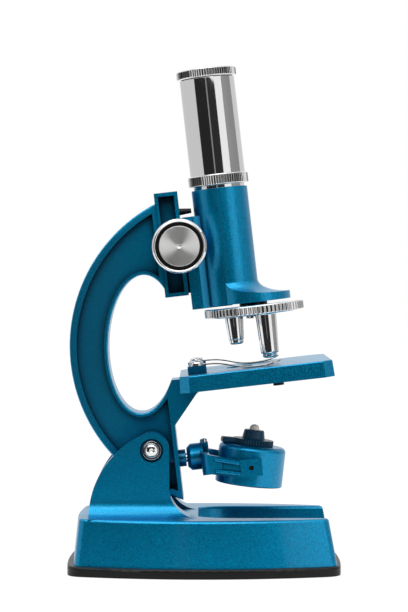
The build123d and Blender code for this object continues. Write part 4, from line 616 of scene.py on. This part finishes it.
def start_tree(name, sockets):
    """New Geometry Nodes tree with named inputs; returns the tree and the node that gives them."""
    tree = bpy.data.node_groups.new(name, "GeometryNodeTree")
    tree.interface.new_socket("Geometry", in_out="INPUT", socket_type="NodeSocketGeometry")
    for socket, kind in sockets.items():
        tree.interface.new_socket(socket, in_out="INPUT", socket_type=kind)
    tree.interface.new_socket("Geometry", in_out="OUTPUT", socket_type="NodeSocketGeometry")
    return tree, add_node(tree, "NodeGroupInput")


def end_tree(tree, geometry, material):
    """End a tree in real geometry with its material."""
    real = add_node(tree, "GeometryNodeRealizeInstances", {"Geometry": geometry})
    inputs = {"Geometry": real.outputs["Geometry"], "Material": material}
    painted = add_node(tree, "GeometryNodeSetMaterial", inputs)
    add_node(tree, "NodeGroupOutput", {"Geometry": painted.outputs["Geometry"]})
    return tree


def knurl_tree():
    """Tree that cuts a straight knurl into the rim of a turned blank that stands on Z."""
    kinds = {"Flutes": "NodeSocketInt", "Finish": "NodeSocketMaterial"}
    kinds.update(dict.fromkeys(("Depth", "Low", "High", "Rim"), "NodeSocketFloat"))
    tree, given = start_tree("straight_knurl", kinds)
    place = add_node(tree, "GeometryNodeInputPosition")
    axes = add_node(tree, "ShaderNodeSeparateXYZ", {0: place.outputs["Position"]})
    turn = add_node(tree, "ShaderNodeMath", {0: axes.outputs["Y"], 1: axes.outputs["X"]}, operation="ARCTAN2")
    inputs = {0: turn.outputs["Value"], 1: given.outputs["Flutes"]}
    phase = add_node(tree, "ShaderNodeMath", inputs, operation="MULTIPLY")
    wave = add_node(tree, "ShaderNodeMath", {0: phase.outputs["Value"]}, operation="COSINE")
    inputs = {"Value": wave.outputs["Value"], "From Min": -1.0}
    inputs.update({"To Min": given.outputs["Depth"], "To Max": 0.0})
    cut = add_node(tree, "ShaderNodeMapRange", inputs)
    spoke = add_node(tree, "ShaderNodeCombineXYZ", {"X": axes.outputs["X"], "Y": axes.outputs["Y"]})
    inward = add_node(tree, "ShaderNodeVectorMath", {0: spoke.outputs["Vector"]}, operation="NORMALIZE")
    inputs = {0: inward.outputs["Vector"], "Scale": cut.outputs["Result"]}
    offset = add_node(tree, "ShaderNodeVectorMath", inputs, operation="SCALE")
    inputs = {0: (0, 0, 0), 1: offset.outputs["Vector"]}
    inwards = add_node(tree, "ShaderNodeVectorMath", inputs, operation="SUBTRACT")
    reach = add_node(tree, "ShaderNodeVectorMath", {0: spoke.outputs["Vector"]}, operation="LENGTH")
    on_rim = None
    for larger, smaller in (
        (reach.outputs["Value"], given.outputs["Rim"]),
        (axes.outputs["Z"], given.outputs["Low"]),
        (given.outputs["High"], axes.outputs["Z"]),
    ):
        test = add_node(tree, "FunctionNodeCompare", {0: larger, 1: smaller}, operation="GREATER_EQUAL")
        found = test.outputs["Result"]
        if on_rim is not None:
            found = add_node(tree, "FunctionNodeBooleanMath", {0: on_rim, 1: found}).outputs["Boolean"]
        on_rim = found
    inputs = {"Geometry": given.outputs["Geometry"], "Selection": on_rim, "Offset": inwards.outputs["Vector"]}
    knurled = add_node(tree, "GeometryNodeSetPosition", inputs)
    return end_tree(tree, knurled.outputs["Geometry"], given.outputs["Finish"])


def repeat_tree():
    """Tree that sets one pattern on every point of a mesh, each turned a step on from the last."""
    kinds = {"Pattern": "NodeSocketObject", "Lean": "NodeSocketVector", "Step": "NodeSocketFloat"}
    tree, given = start_tree("set_of_likes", {**kinds, "Finish": "NodeSocketMaterial"})
    inputs = {"Object": given.outputs["Pattern"], "As Instance": True}
    pattern = add_node(tree, "GeometryNodeObjectInfo", inputs)
    inputs = {
        "Points": given.outputs["Geometry"],
        "Instance": pattern.outputs["Geometry"],
        "Rotation": given.outputs["Lean"],
    }
    copies = add_node(tree, "GeometryNodeInstanceOnPoints", inputs)
    index = add_node(tree, "GeometryNodeInputIndex")
    inputs = {0: index.outputs["Index"], 1: given.outputs["Step"]}
    turn = add_node(tree, "ShaderNodeMath", inputs, operation="MULTIPLY")
    spin = add_node(tree, "ShaderNodeCombineXYZ", {"Z": turn.outputs["Value"]})
    inputs = {"Instances": copies.outputs["Instances"], "Rotation": spin.outputs["Vector"]}
    turned = add_node(tree, "GeometryNodeRotateInstances", inputs)
    return end_tree(tree, turned.outputs["Instances"], given.outputs["Finish"])


TREES = {}


def grown_mesh(mesh, tree, **values):
    """Plain mesh that a Geometry Nodes tree makes from a mesh; values are the tree's named inputs."""
    work = bpy.data.objects.new(mesh.name, mesh)
    modifier = work.modifiers.new(tree.name, "NODES")
    modifier.node_group = tree
    for item in tree.interface.items_tree:
        if item.in_out == "INPUT" and item.name in values:
            modifier[item.identifier] = values[item.name]
    return plain_mesh(work)


def repeated(mesh, places, turn, step, finish):
    """One mesh with a copy of a pattern on every place, all leaning alike and each turned a step on."""
    points = bpy.data.meshes.new(mesh.name)
    points.from_pydata(places, [], [])
    pattern = bpy.data.objects.new("pattern", mesh)
    values = {"Pattern": pattern, "Lean": turn.to_euler(), "Step": step, "Finish": finish}
    result = grown_mesh(points, TREES["repeat"], **values)
    bpy.data.objects.remove(pattern)
    return result


# Pieces

# Places on the arm, in millimetres forward of the pivot and upward from it
OPTIC_F = 41
TUBE_TOP_U = 106.9
BARREL_BOTTOM_U = 112.9
DRAW_BOTTOM_U = 118.4
CAP_BOTTOM_U = 154.4
TURRET_F = 50
TURRET_BOTTOM_U = 51.7
OBJECTIVE_SEAT_U = 51.68

CASTING_SHARP = 26.0
TUBE_SHARP = 13.0
KNURL_SHARP = 50.0
CAP_SHARP = 40.0
KNURL_EASE = 0.12
RIM_MARGIN = 0.05
FACES_PER_FLUTE = 8


class MICROSCOPE_OT_finishes(bpy.types.Operator):
    """Make the materials and put them on every CAD node"""

    bl_idname = "microscope.finishes"
    bl_label = "Finishes"

    def execute(self, context):
        mix_finishes(context.scene.microscope_colours)
        TREES.update(knurl=knurl_tree(), repeat=repeat_tree())
        for name, node in frame["nodes"].items():
            node.data.materials.clear()
            node.data.materials.append(FINISHES[SLOT_OF[name]])
        return {"FINISHED"}


def cad_copy(node, sharp_degrees=CASTING_SHARP):
    """Merged copy of a CAD node's mesh with its finish."""
    return finish_mesh(frame["nodes"][node].data.copy(), FINISHES[SLOT_OF[node]], sharp_degrees)


def smoothed(mesh):
    """Mesh whose flat faces keep their flat look beside the rounds."""
    work = bpy.data.objects.new(mesh.name, mesh)
    work.modifiers.new("flats_first", "WEIGHTED_NORMAL").keep_sharp = True
    return plain_mesh(work)


def soft_box(name, size, edge):
    """Box about the origin, with its size and the round of its edges in millimetres."""
    blank = bmesh.new()
    bmesh.ops.create_cube(blank, size=1.0)
    scale = Matrix.Diagonal((*(length * MM for length in size), 1))
    bmesh.ops.transform(blank, matrix=scale, verts=blank.verts)
    bmesh.ops.bevel(blank, geom=blank.edges, offset=edge * MM, segments=3, profile=0.5, affect="EDGES")
    mesh = bpy.data.meshes.new(name)
    blank.to_mesh(mesh)
    blank.free()
    return mesh


def knurled_mesh(name, profile, band, flutes, material):
    """Turned mesh with a straight knurl on its rim, over a band between two heights in millimetres."""
    low, high = band
    rim = max(radius for radius, height in profile) - RIM_MARGIN
    blank = finish_mesh(turned_mesh(name, eased(profile, KNURL_EASE), FACES_PER_FLUTE * flutes), material)
    values = {"Low": low * MM, "High": high * MM, "Rim": rim * MM, "Flutes": flutes, "Finish": material}
    return grown_mesh(blank, TREES["knurl"], Depth=bpy.context.scene.microscope_knurls.depth, **values)


def knurled_piece(name, profile, band, flutes, place, axis, *nodes):
    """Turned piece with a knurled rim, at a place on an axis, that stands for CAD nodes."""
    material = FINISHES[SLOT_OF[nodes[0]]]
    mesh = knurled_mesh(name, profile, band, flutes, material)
    mesh.transform(standing(place, axis))
    add_piece(finish_mesh(mesh, material, KNURL_SHARP), name, *nodes)


# Ribs on the outer faces of the lamp fork's arms: where they start and end, and their heights there
FORK_OUTER = 16.9
RIB_START_F = 25.6
RIB_END_F = 36.2
RIB_RUNS = ((-6.9, -9.9), (-12.0, -14.4))
RIB_WIDTH = 1.8
RIB_ROUND = 0.7


class MICROSCOPE_OT_castings(bpy.types.Operator):
    """Smooth the lacquered castings and rib the arms of the lamp fork"""

    bl_idname = "microscope.castings"
    bl_label = "Castings"

    def execute(self, context):
        for node in ("base_casting", "arm_casting", "stage", "lamp_drum"):
            add_piece(smoothed(cad_copy(node)), node + "_lacquered", node)
        add_piece(smoothed(cad_copy("body_tube", TUBE_SHARP)), "body_tube_lacquered", "body_tube")
        lacquer = FINISHES[SLOT_OF["lamp_fork"]]
        fork = cad_copy("lamp_fork")
        for start_u, end_u in RIB_RUNS:
            run = arm_point(RIB_END_F, end_u) - arm_point(RIB_START_F, start_u)
            rib = soft_box("rib", (run.length / MM, RIB_WIDTH, RIB_WIDTH), RIB_ROUND)
            middle_f, middle_u = (RIB_START_F + RIB_END_F) / 2, (start_u + end_u) / 2
            places = [arm_point(middle_f, middle_u, y) for y in (-FORK_OUTER, FORK_OUTER)]
            ribs = repeated(rib, places, standing(Vector(), ACROSS, run), 0.0, lacquer)
            fork = combined(fork, ribs, "UNION")
        fork = finish_mesh(fork, lacquer, CASTING_SHARP)
        add_piece(smoothed(fork), "lamp_fork_lacquered", "lamp_fork")
        return {"FINISHED"}


class MICROSCOPE_OT_mouldings(bpy.types.Operator):
    """Smooth the black mouldings and the spring clips"""

    bl_idname = "microscope.mouldings"
    bl_label = "Mouldings and clips"

    def execute(self, context):
        for node in ("base_plate", "battery_cover", "aperture_disc", "stage_clip_near", "stage_clip_far"):
            add_piece(smoothed(cad_copy(node)), node + "_smooth", node)
        return {"FINISHED"}


# Lenses: node, height of the flat face, thickness of the edge and rise of the dome
LENS_RADIUS = 10.13
LENSES = (("eye_lens", 151.4, 2.0, 1.0), ("field_lens", 120.4, 1.7, 0.9))
DOME_SHARES = (0.85, 0.7, 0.55, 0.4, 0.25, 0.1)


class MICROSCOPE_OT_eyepiece(bpy.types.Operator):
    """Turn the zoom eyepiece: knurled cap and collar, plain barrel, draw tube and polished lenses"""

    bl_idname = "microscope.eyepiece"
    bl_label = "Eyepiece"

    def execute(self, context):
        flutes = context.scene.microscope_knurls.eyepiece_flutes
        cap = [(6.0, 0), (12.3, 0), (12.8, 0.3), (12.8, 0.5), (12.8, 3.2), (12.8, 3.4), (12.3, 3.8)]
        cap += [(10.95, 3.8), (10.4, 3.55), (6.0, 2.6)]
        place = arm_point(OPTIC_F, CAP_BOTTOM_U)
        knurled_piece("knurled_cap", cap, (0.45, 3.25), flutes, place, UPWARD, "eyepiece_cap")
        collar = [(8.68, -9), (9.48, -9), (9.48, 0), (11.0, 0), (11.0, 1.4), (12.4, 1.4), (12.85, 1.7)]
        collar += [(12.85, 1.9), (12.85, 5.5), (12.85, 5.7), (12.4, 6.0), (8.68, 6.0)]
        place = arm_point(OPTIC_F, TUBE_TOP_U)
        knurled_piece("knurled_collar", collar, (1.85, 5.55), flutes, place, UPWARD, "barrel_collar")
        barrel = [(11.0, 0), (11.8, 0), (11.8, 41.2), (11.0, 41.2)]
        place = arm_point(OPTIC_F, BARREL_BOTTOM_U)
        turned_piece("turned_barrel", barrel, place, UPWARD, "eyepiece_barrel", segments=160)
        draw = [(10.15, 0), (10.95, 0), (10.95, 36.0), (10.15, 36.0)]
        place = arm_point(OPTIC_F, DRAW_BOTTOM_U)
        turned_piece("turned_draw_tube", draw, place, UPWARD, "draw_tube", segments=128)
        for node, bottom, edge, dome in LENSES:
            outline = [(0, 0), (LENS_RADIUS, 0), (LENS_RADIUS, edge)]
            outline += [(LENS_RADIUS * share, edge + dome * (1 - share**2)) for share in DOME_SHARES]
            outline.append((0, edge + dome))
            turned_piece("polished_" + node, outline, arm_point(OPTIC_F, bottom), UPWARD, node, ease=0.05)
        return {"FINISHED"}


# Objectives: size, angle on the turret, radius of the sleeve, radius of the nose and height of the tip
OBJECTIVE_CIRCLE = 9
OBJECTIVES = (
    ("short", 180, 4.1, 3.1, 39.7),
    ("medium", 60, 4.3, 3.2, 36.2),
    ("long", 300, 4.6, 3.2, 32.8),
)


class MICROSCOPE_OT_turret(bpy.types.Operator):
    """Turn the turret disc with its knurled rim, and the three objectives with their stepped noses"""

    bl_idname = "microscope.turret"
    bl_label = "Turret and objectives"

    def execute(self, context):
        flutes = context.scene.microscope_knurls.turret_flutes
        disc = [(2.15, 0), (20.6, 0), (21.2, 0.25), (21.4, 0.5), (21.4, 0.7), (21.4, 3.5), (21.4, 3.7)]
        disc += [(21.2, 3.95), (20.6, 4.2), (2.15, 4.2)]
        place = arm_point(TURRET_F, TURRET_BOTTOM_U)
        knurled_piece("knurled_turret", disc, (0.65, 3.55), flutes, place, UPWARD, "turret_disc")
        for size, angle, radius, nose, tip in OBJECTIVES:
            top = OBJECTIVE_SEAT_U - tip
            waist = radius - 0.7
            outline = [(1.9, 0), (2.3, 0), (nose - 0.25, 0.3), (nose, 0.7), (nose, 2.0), (waist - 0.2, 2.0)]
            outline += [(waist, 2.3), (radius, top - 0.4), (radius - 0.3, top), (3.0, top)]
            outline += [(3.0, top + 4.2), (1.9, top + 4.2)]
            f = TURRET_F + OBJECTIVE_CIRCLE * cos(radians(angle))
            y = OBJECTIVE_CIRCLE * sin(radians(angle))
            name = "turned_objective_" + size
            turned_piece(name, outline, arm_point(f, tip, y), UPWARD, "objective_" + size)
        return {"FINISHED"}


KNOB_REAR_Y = 13.6


class MICROSCOPE_OT_knobs(bpy.types.Operator):
    """Turn the focus knobs: knurled rims, black rings and spun discs"""

    bl_idname = "microscope.knobs"
    bl_label = "Focus knobs"

    def execute(self, context):
        flutes = context.scene.microscope_knurls.knob_flutes
        knob = [(1.32, 0), (10.9, 0), (11.5, 0.6), (11.5, 0.9), (11.5, 9.3), (11.5, 9.6), (10.9, 10.3)]
        knob += [(10.5, 10.5), (10.14, 10.3), (10.14, 8.9), (1.32, 8.9)]
        ring = [(8.62, 8.9), (10.1, 8.9), (10.1, 9.7), (8.62, 9.7)]
        disc = [(0, 8.9), (8.6, 8.9), (8.6, 10.05), (8.35, 10.3), (1.0, 10.3), (0.7, 10.1), (0, 10.0)]
        discs, rings = [], []
        for side, node in ((-1, "knob_near"), (1, "knob_far")):
            axis = ACROSS * side
            place = KNOB_CENTRE + axis * KNOB_REAR_Y * MM
            name = "knurled_" + node
            knurled_piece(name, knob, (0.85, 9.35), flutes, place, axis, node)
            for blanks, outline in ((discs, disc), (rings, ring)):
                blank = turned_mesh(name, eased(outline, 0.1), 96)
                blank.transform(standing(place, axis))
                blanks.append(blank)
        add_piece(finish_mesh(joined(discs), FINISHES["spun_aluminium"]), "spun_discs", "knob_discs")
        add_piece(finish_mesh(joined(rings), FINISHES["black_plastic"]), "black_rings", "knob_rings")
        return {"FINISHED"}


BOLT_SEAT_Y = 18
BOLT_DOME_RADIUS = 2.85
BOLT_DOME_RISE = 1.3


class MICROSCOPE_OT_pivot(bpy.types.Operator):
    """Turn the pivot bolt, with a flange and a dimpled dome"""

    bl_idname = "microscope.pivot"
    bl_label = "Pivot bolt"

    def execute(self, context):
        bolt = [(0, -38), (1.7, -38), (2.0, -37.7), (2.0, -36), (3.0, -36), (3.0, 0), (4.15, 0), (4.15, 0.85)]
        bolt += [(3.9, 1.1), (3.0, 1.1), (BOLT_DOME_RADIUS, 1.25)]
        for angle in (radians(degrees) for degrees in (12, 30, 48, 64)):
            bolt.append((BOLT_DOME_RADIUS * cos(angle), BOLT_DOME_RISE + BOLT_DOME_RISE * sin(angle)))
        bolt += [(0.95, 2.54), (0.75, 2.42), (0.4, 2.25), (0, 2.2)]
        place = PIVOT - ACROSS * BOLT_SEAT_Y * MM
        turned_piece("turned_bolt", bolt, place, -ACROSS, "pivot_bolt", ease=0.08)
        return {"FINISHED"}


TAB_SIZE = (7.0, 5.0, 2.46)
TAB_ROUND = 0.7
TAB_REACH = 10.5
TAB_LEVEL = 9.77
TAB_TURN = 195
BULB_RADIUS = 2.1
BULB_SHOULDER = 15.6
BULB_TIP_RISE = 1.72


class MICROSCOPE_OT_lamp(bpy.types.Operator):
    """Make the lamp cap with its knurled rim and thumb tab, and the bulb in it"""

    bl_idname = "microscope.lamp"
    bl_label = "Lamp"

    def execute(self, context):
        flutes = context.scene.microscope_knurls.lamp_flutes
        plastic = FINISHES[SLOT_OF["lamp_cap"]]
        cap = [(2.4, 6.5), (8.0, 6.5), (8.0, 8.52), (8.5, 8.52), (8.8, 8.7), (8.8, 8.9), (8.8, 10.6)]
        cap += [(8.8, 10.8), (8.5, 11.02), (5.3, 11.02), (4.9, 11.3), (4.3, 14.6), (4.0, 14.92)]
        cap += [(2.6, 14.92), (2.4, 14.7)]
        mesh = knurled_mesh("lamp_cap_turned", cap, (8.85, 10.65), flutes, plastic)
        tab = soft_box("thumb_tab", TAB_SIZE, TAB_ROUND)
        outward = Matrix.Translation((TAB_REACH * MM, 0, TAB_LEVEL * MM))
        tab.transform(Matrix.Rotation(radians(TAB_TURN), 4, "Z") @ outward)
        mesh = combined(mesh, tab, "UNION")
        mesh.transform(standing(DRUM_CENTRE, DRUM_AXIS))
        add_piece(finish_mesh(mesh, plastic, CAP_SHARP), "moulded_lamp_cap", "lamp_cap")
        glass = [(0, 5.82), (BULB_RADIUS, 5.82), (BULB_RADIUS, BULB_SHOULDER)]
        for angle in (radians(degrees) for degrees in (15, 30, 45, 60, 75)):
            glass.append((BULB_RADIUS * cos(angle), BULB_SHOULDER + BULB_TIP_RISE * sin(angle)))
        glass.append((0, BULB_SHOULDER + BULB_TIP_RISE))
        bulb = turned_piece("bulb_glass", glass, DRUM_CENTRE, DRUM_AXIS, "bulb", segments=48, ease=0.05)
        bulb.data.materials[0] = opal_glass(context.scene.microscope_colours)
        return {"FINISHED"}


# Drive: arm, half width and slot reach as shares of the head's radius, depth as a share of its height
DRIVE_ARM = 0.62
DRIVE_HALF = 0.17
DRIVE_DEPTH = 0.55
SLOT_REACH = 1.2
DOME_STEPS = 5


def screw_mesh(name, head, shank, drive):
    """Screw on Z whose head faces up from z = 0: head radius, height and dome, shank radius and length.

    The drive is a cross or a slot, cut into the head, or none.
    """
    radius, height, dome = head
    shank_radius, length = shank
    outline = [(0, -length), (shank_radius - 0.3, -length), (shank_radius, 0.4 - length), (shank_radius, 0)]
    outline += [(radius, 0), (radius, height - dome)]
    for step in range(1, DOME_STEPS):
        angle = step / DOME_STEPS * pi / 2
        outline.append((radius * cos(angle), height - dome + dome * sin(angle)))
    outline.append((0, height))
    blank = finish_mesh(turned_mesh(name, outline, 32), FINISHES["steel"])
    if drive == "none":
        return blank
    arm, half, slot = DRIVE_ARM * radius, DRIVE_HALF * radius, SLOT_REACH * radius
    if drive == "cross":
        corners = [(half, half), (half, arm), (-half, arm), (-half, half), (-arm, half), (-arm, -half)]
        corners += [(-x, -y) for x, y in corners]
    else:
        corners = [(-half, -slot), (half, -slot), (half, slot), (-half, slot)]
    count = len(corners)
    levels = (height - DRIVE_DEPTH * height, height + 1.0)
    points = [(x * MM, y * MM, z * MM) for z in levels for x, y in corners]
    faces = [tuple(reversed(range(count))), tuple(range(count, 2 * count))]
    faces += [(k, (k + 1) % count, count + (k + 1) % count, count + k) for k in range(count)]
    cutter = bpy.data.meshes.new("drive")
    cutter.from_pydata(points, [], faces)
    return combined(blank, cutter, "DIFFERENCE")


# Screws: piece, node, head, shank, drive, the way the heads face, and their places
DOWN = Vector((0, 0, -1))
BASE_SEAT = 1.7
BASE_PLAN = ((-46.9, 0), (30, -26), (30, 26), (-47.6, -19.5), (-47.6, 19.5))
BASE_PLACES = [Vector((x, y, BASE_SEAT)) * MM for x, y in BASE_PLAN]
STAGE_PLACES = [arm_point(19.4, 21.9, y) for y in (-5.5, 5.5)]
CLIP_PLACES = [arm_point(22.9, 33.84, y) for y in (-18, 18)]
CLAMP_PLACES = [arm_point(22.0, -0.5)]
TURRET_PLACES = [arm_point(TURRET_F, OBJECTIVE_SEAT_U)]
PAN_HEAD = (2.9, 1.4, 0.7)
SCREWS = (
    ("cross_head_base_screws", "base_screws", PAN_HEAD, (1.5, 11.0), "cross", DOWN, BASE_PLACES),
    ("cross_head_stage_screws", "stage_screws", PAN_HEAD, (1.5, 6.6), "cross", -UPWARD, STAGE_PLACES),
    ("domed_clip_screws", "clip_screws", (2.9, 1.7, 1.2), (1.4, 5.04), "none", UPWARD, CLIP_PLACES),
    ("cross_head_clamp_screw", "clamp_screw", (1.6, 1.6, 0.4), (1.1, 12.08), "cross", UPWARD, CLAMP_PLACES),
    ("slotted_turret_screw", "turret_screw", (3.8, 1.8, 0.5), (2.0, 9.02), "slot", -UPWARD, TURRET_PLACES),
)
SCREW_STEP = radians(37)


class MICROSCOPE_OT_screws(bpy.types.Operator):
    """Set the screws: base, stage, clips, lamp clamp and turret"""

    bl_idname = "microscope.screws"
    bl_label = "Screws"

    def execute(self, context):
        for name, node, head, shank, drive, axis, places in SCREWS:
            finish = FINISHES[SLOT_OF[node]]
            screw = screw_mesh(name, head, shank, drive)
            screws = repeated(screw, places, standing(Vector(), axis), SCREW_STEP, finish)
            add_piece(finish_mesh(screws, finish), name, node)
        return {"FINISHED"}


class MICROSCOPE_PT_panel(bpy.types.Panel):
    """Steps of the build, in order"""

    bl_label = "Student Microscope"
    bl_idname = "MICROSCOPE_PT_panel"
    bl_space_type = "VIEW_3D"
    bl_region_type = "UI"
    bl_category = "Microscope"

    def draw(self, context):
        for step in STEPS:
            self.layout.operator(step.bl_idname)
        for group in ("microscope_colours", "microscope_knurls", "microscope_studio"):
            settings = getattr(context.scene, group)
            for name in settings.bl_rna.properties.keys():
                if name not in ("rna_type", "name"):
                    self.layout.prop(settings, name)


STEPS = (
    MICROSCOPE_OT_finishes,
    MICROSCOPE_OT_castings,
    MICROSCOPE_OT_mouldings,
    MICROSCOPE_OT_eyepiece,
    MICROSCOPE_OT_turret,
    MICROSCOPE_OT_knobs,
    MICROSCOPE_OT_pivot,
    MICROSCOPE_OT_lamp,
    MICROSCOPE_OT_screws,
    MICROSCOPE_OT_stage,
)
CLASSES = (FinishColours, KnurlSizes, StudioSizes, *STEPS, MICROSCOPE_PT_panel)


def register():
    for item in CLASSES:
        bpy.utils.register_class(item)
    bpy.types.Scene.microscope_colours = PointerProperty(type=FinishColours)
    bpy.types.Scene.microscope_knurls = PointerProperty(type=KnurlSizes)
    bpy.types.Scene.microscope_studio = PointerProperty(type=StudioSizes)


def unregister():
    del bpy.types.Scene.microscope_studio
    del bpy.types.Scene.microscope_knurls
    del bpy.types.Scene.microscope_colours
    for item in reversed(CLASSES):
        bpy.utils.unregister_class(item)


def main():
    register()
    bpy.ops.microscope.finishes()
    bpy.ops.microscope.castings()
    bpy.ops.microscope.mouldings()
    bpy.ops.microscope.eyepiece()
    bpy.ops.microscope.turret()
    bpy.ops.microscope.knobs()
    bpy.ops.microscope.pivot()
    bpy.ops.microscope.lamp()
    bpy.ops.microscope.screws()
    bpy.ops.microscope.stage()


if __name__ == "__main__":
    main()
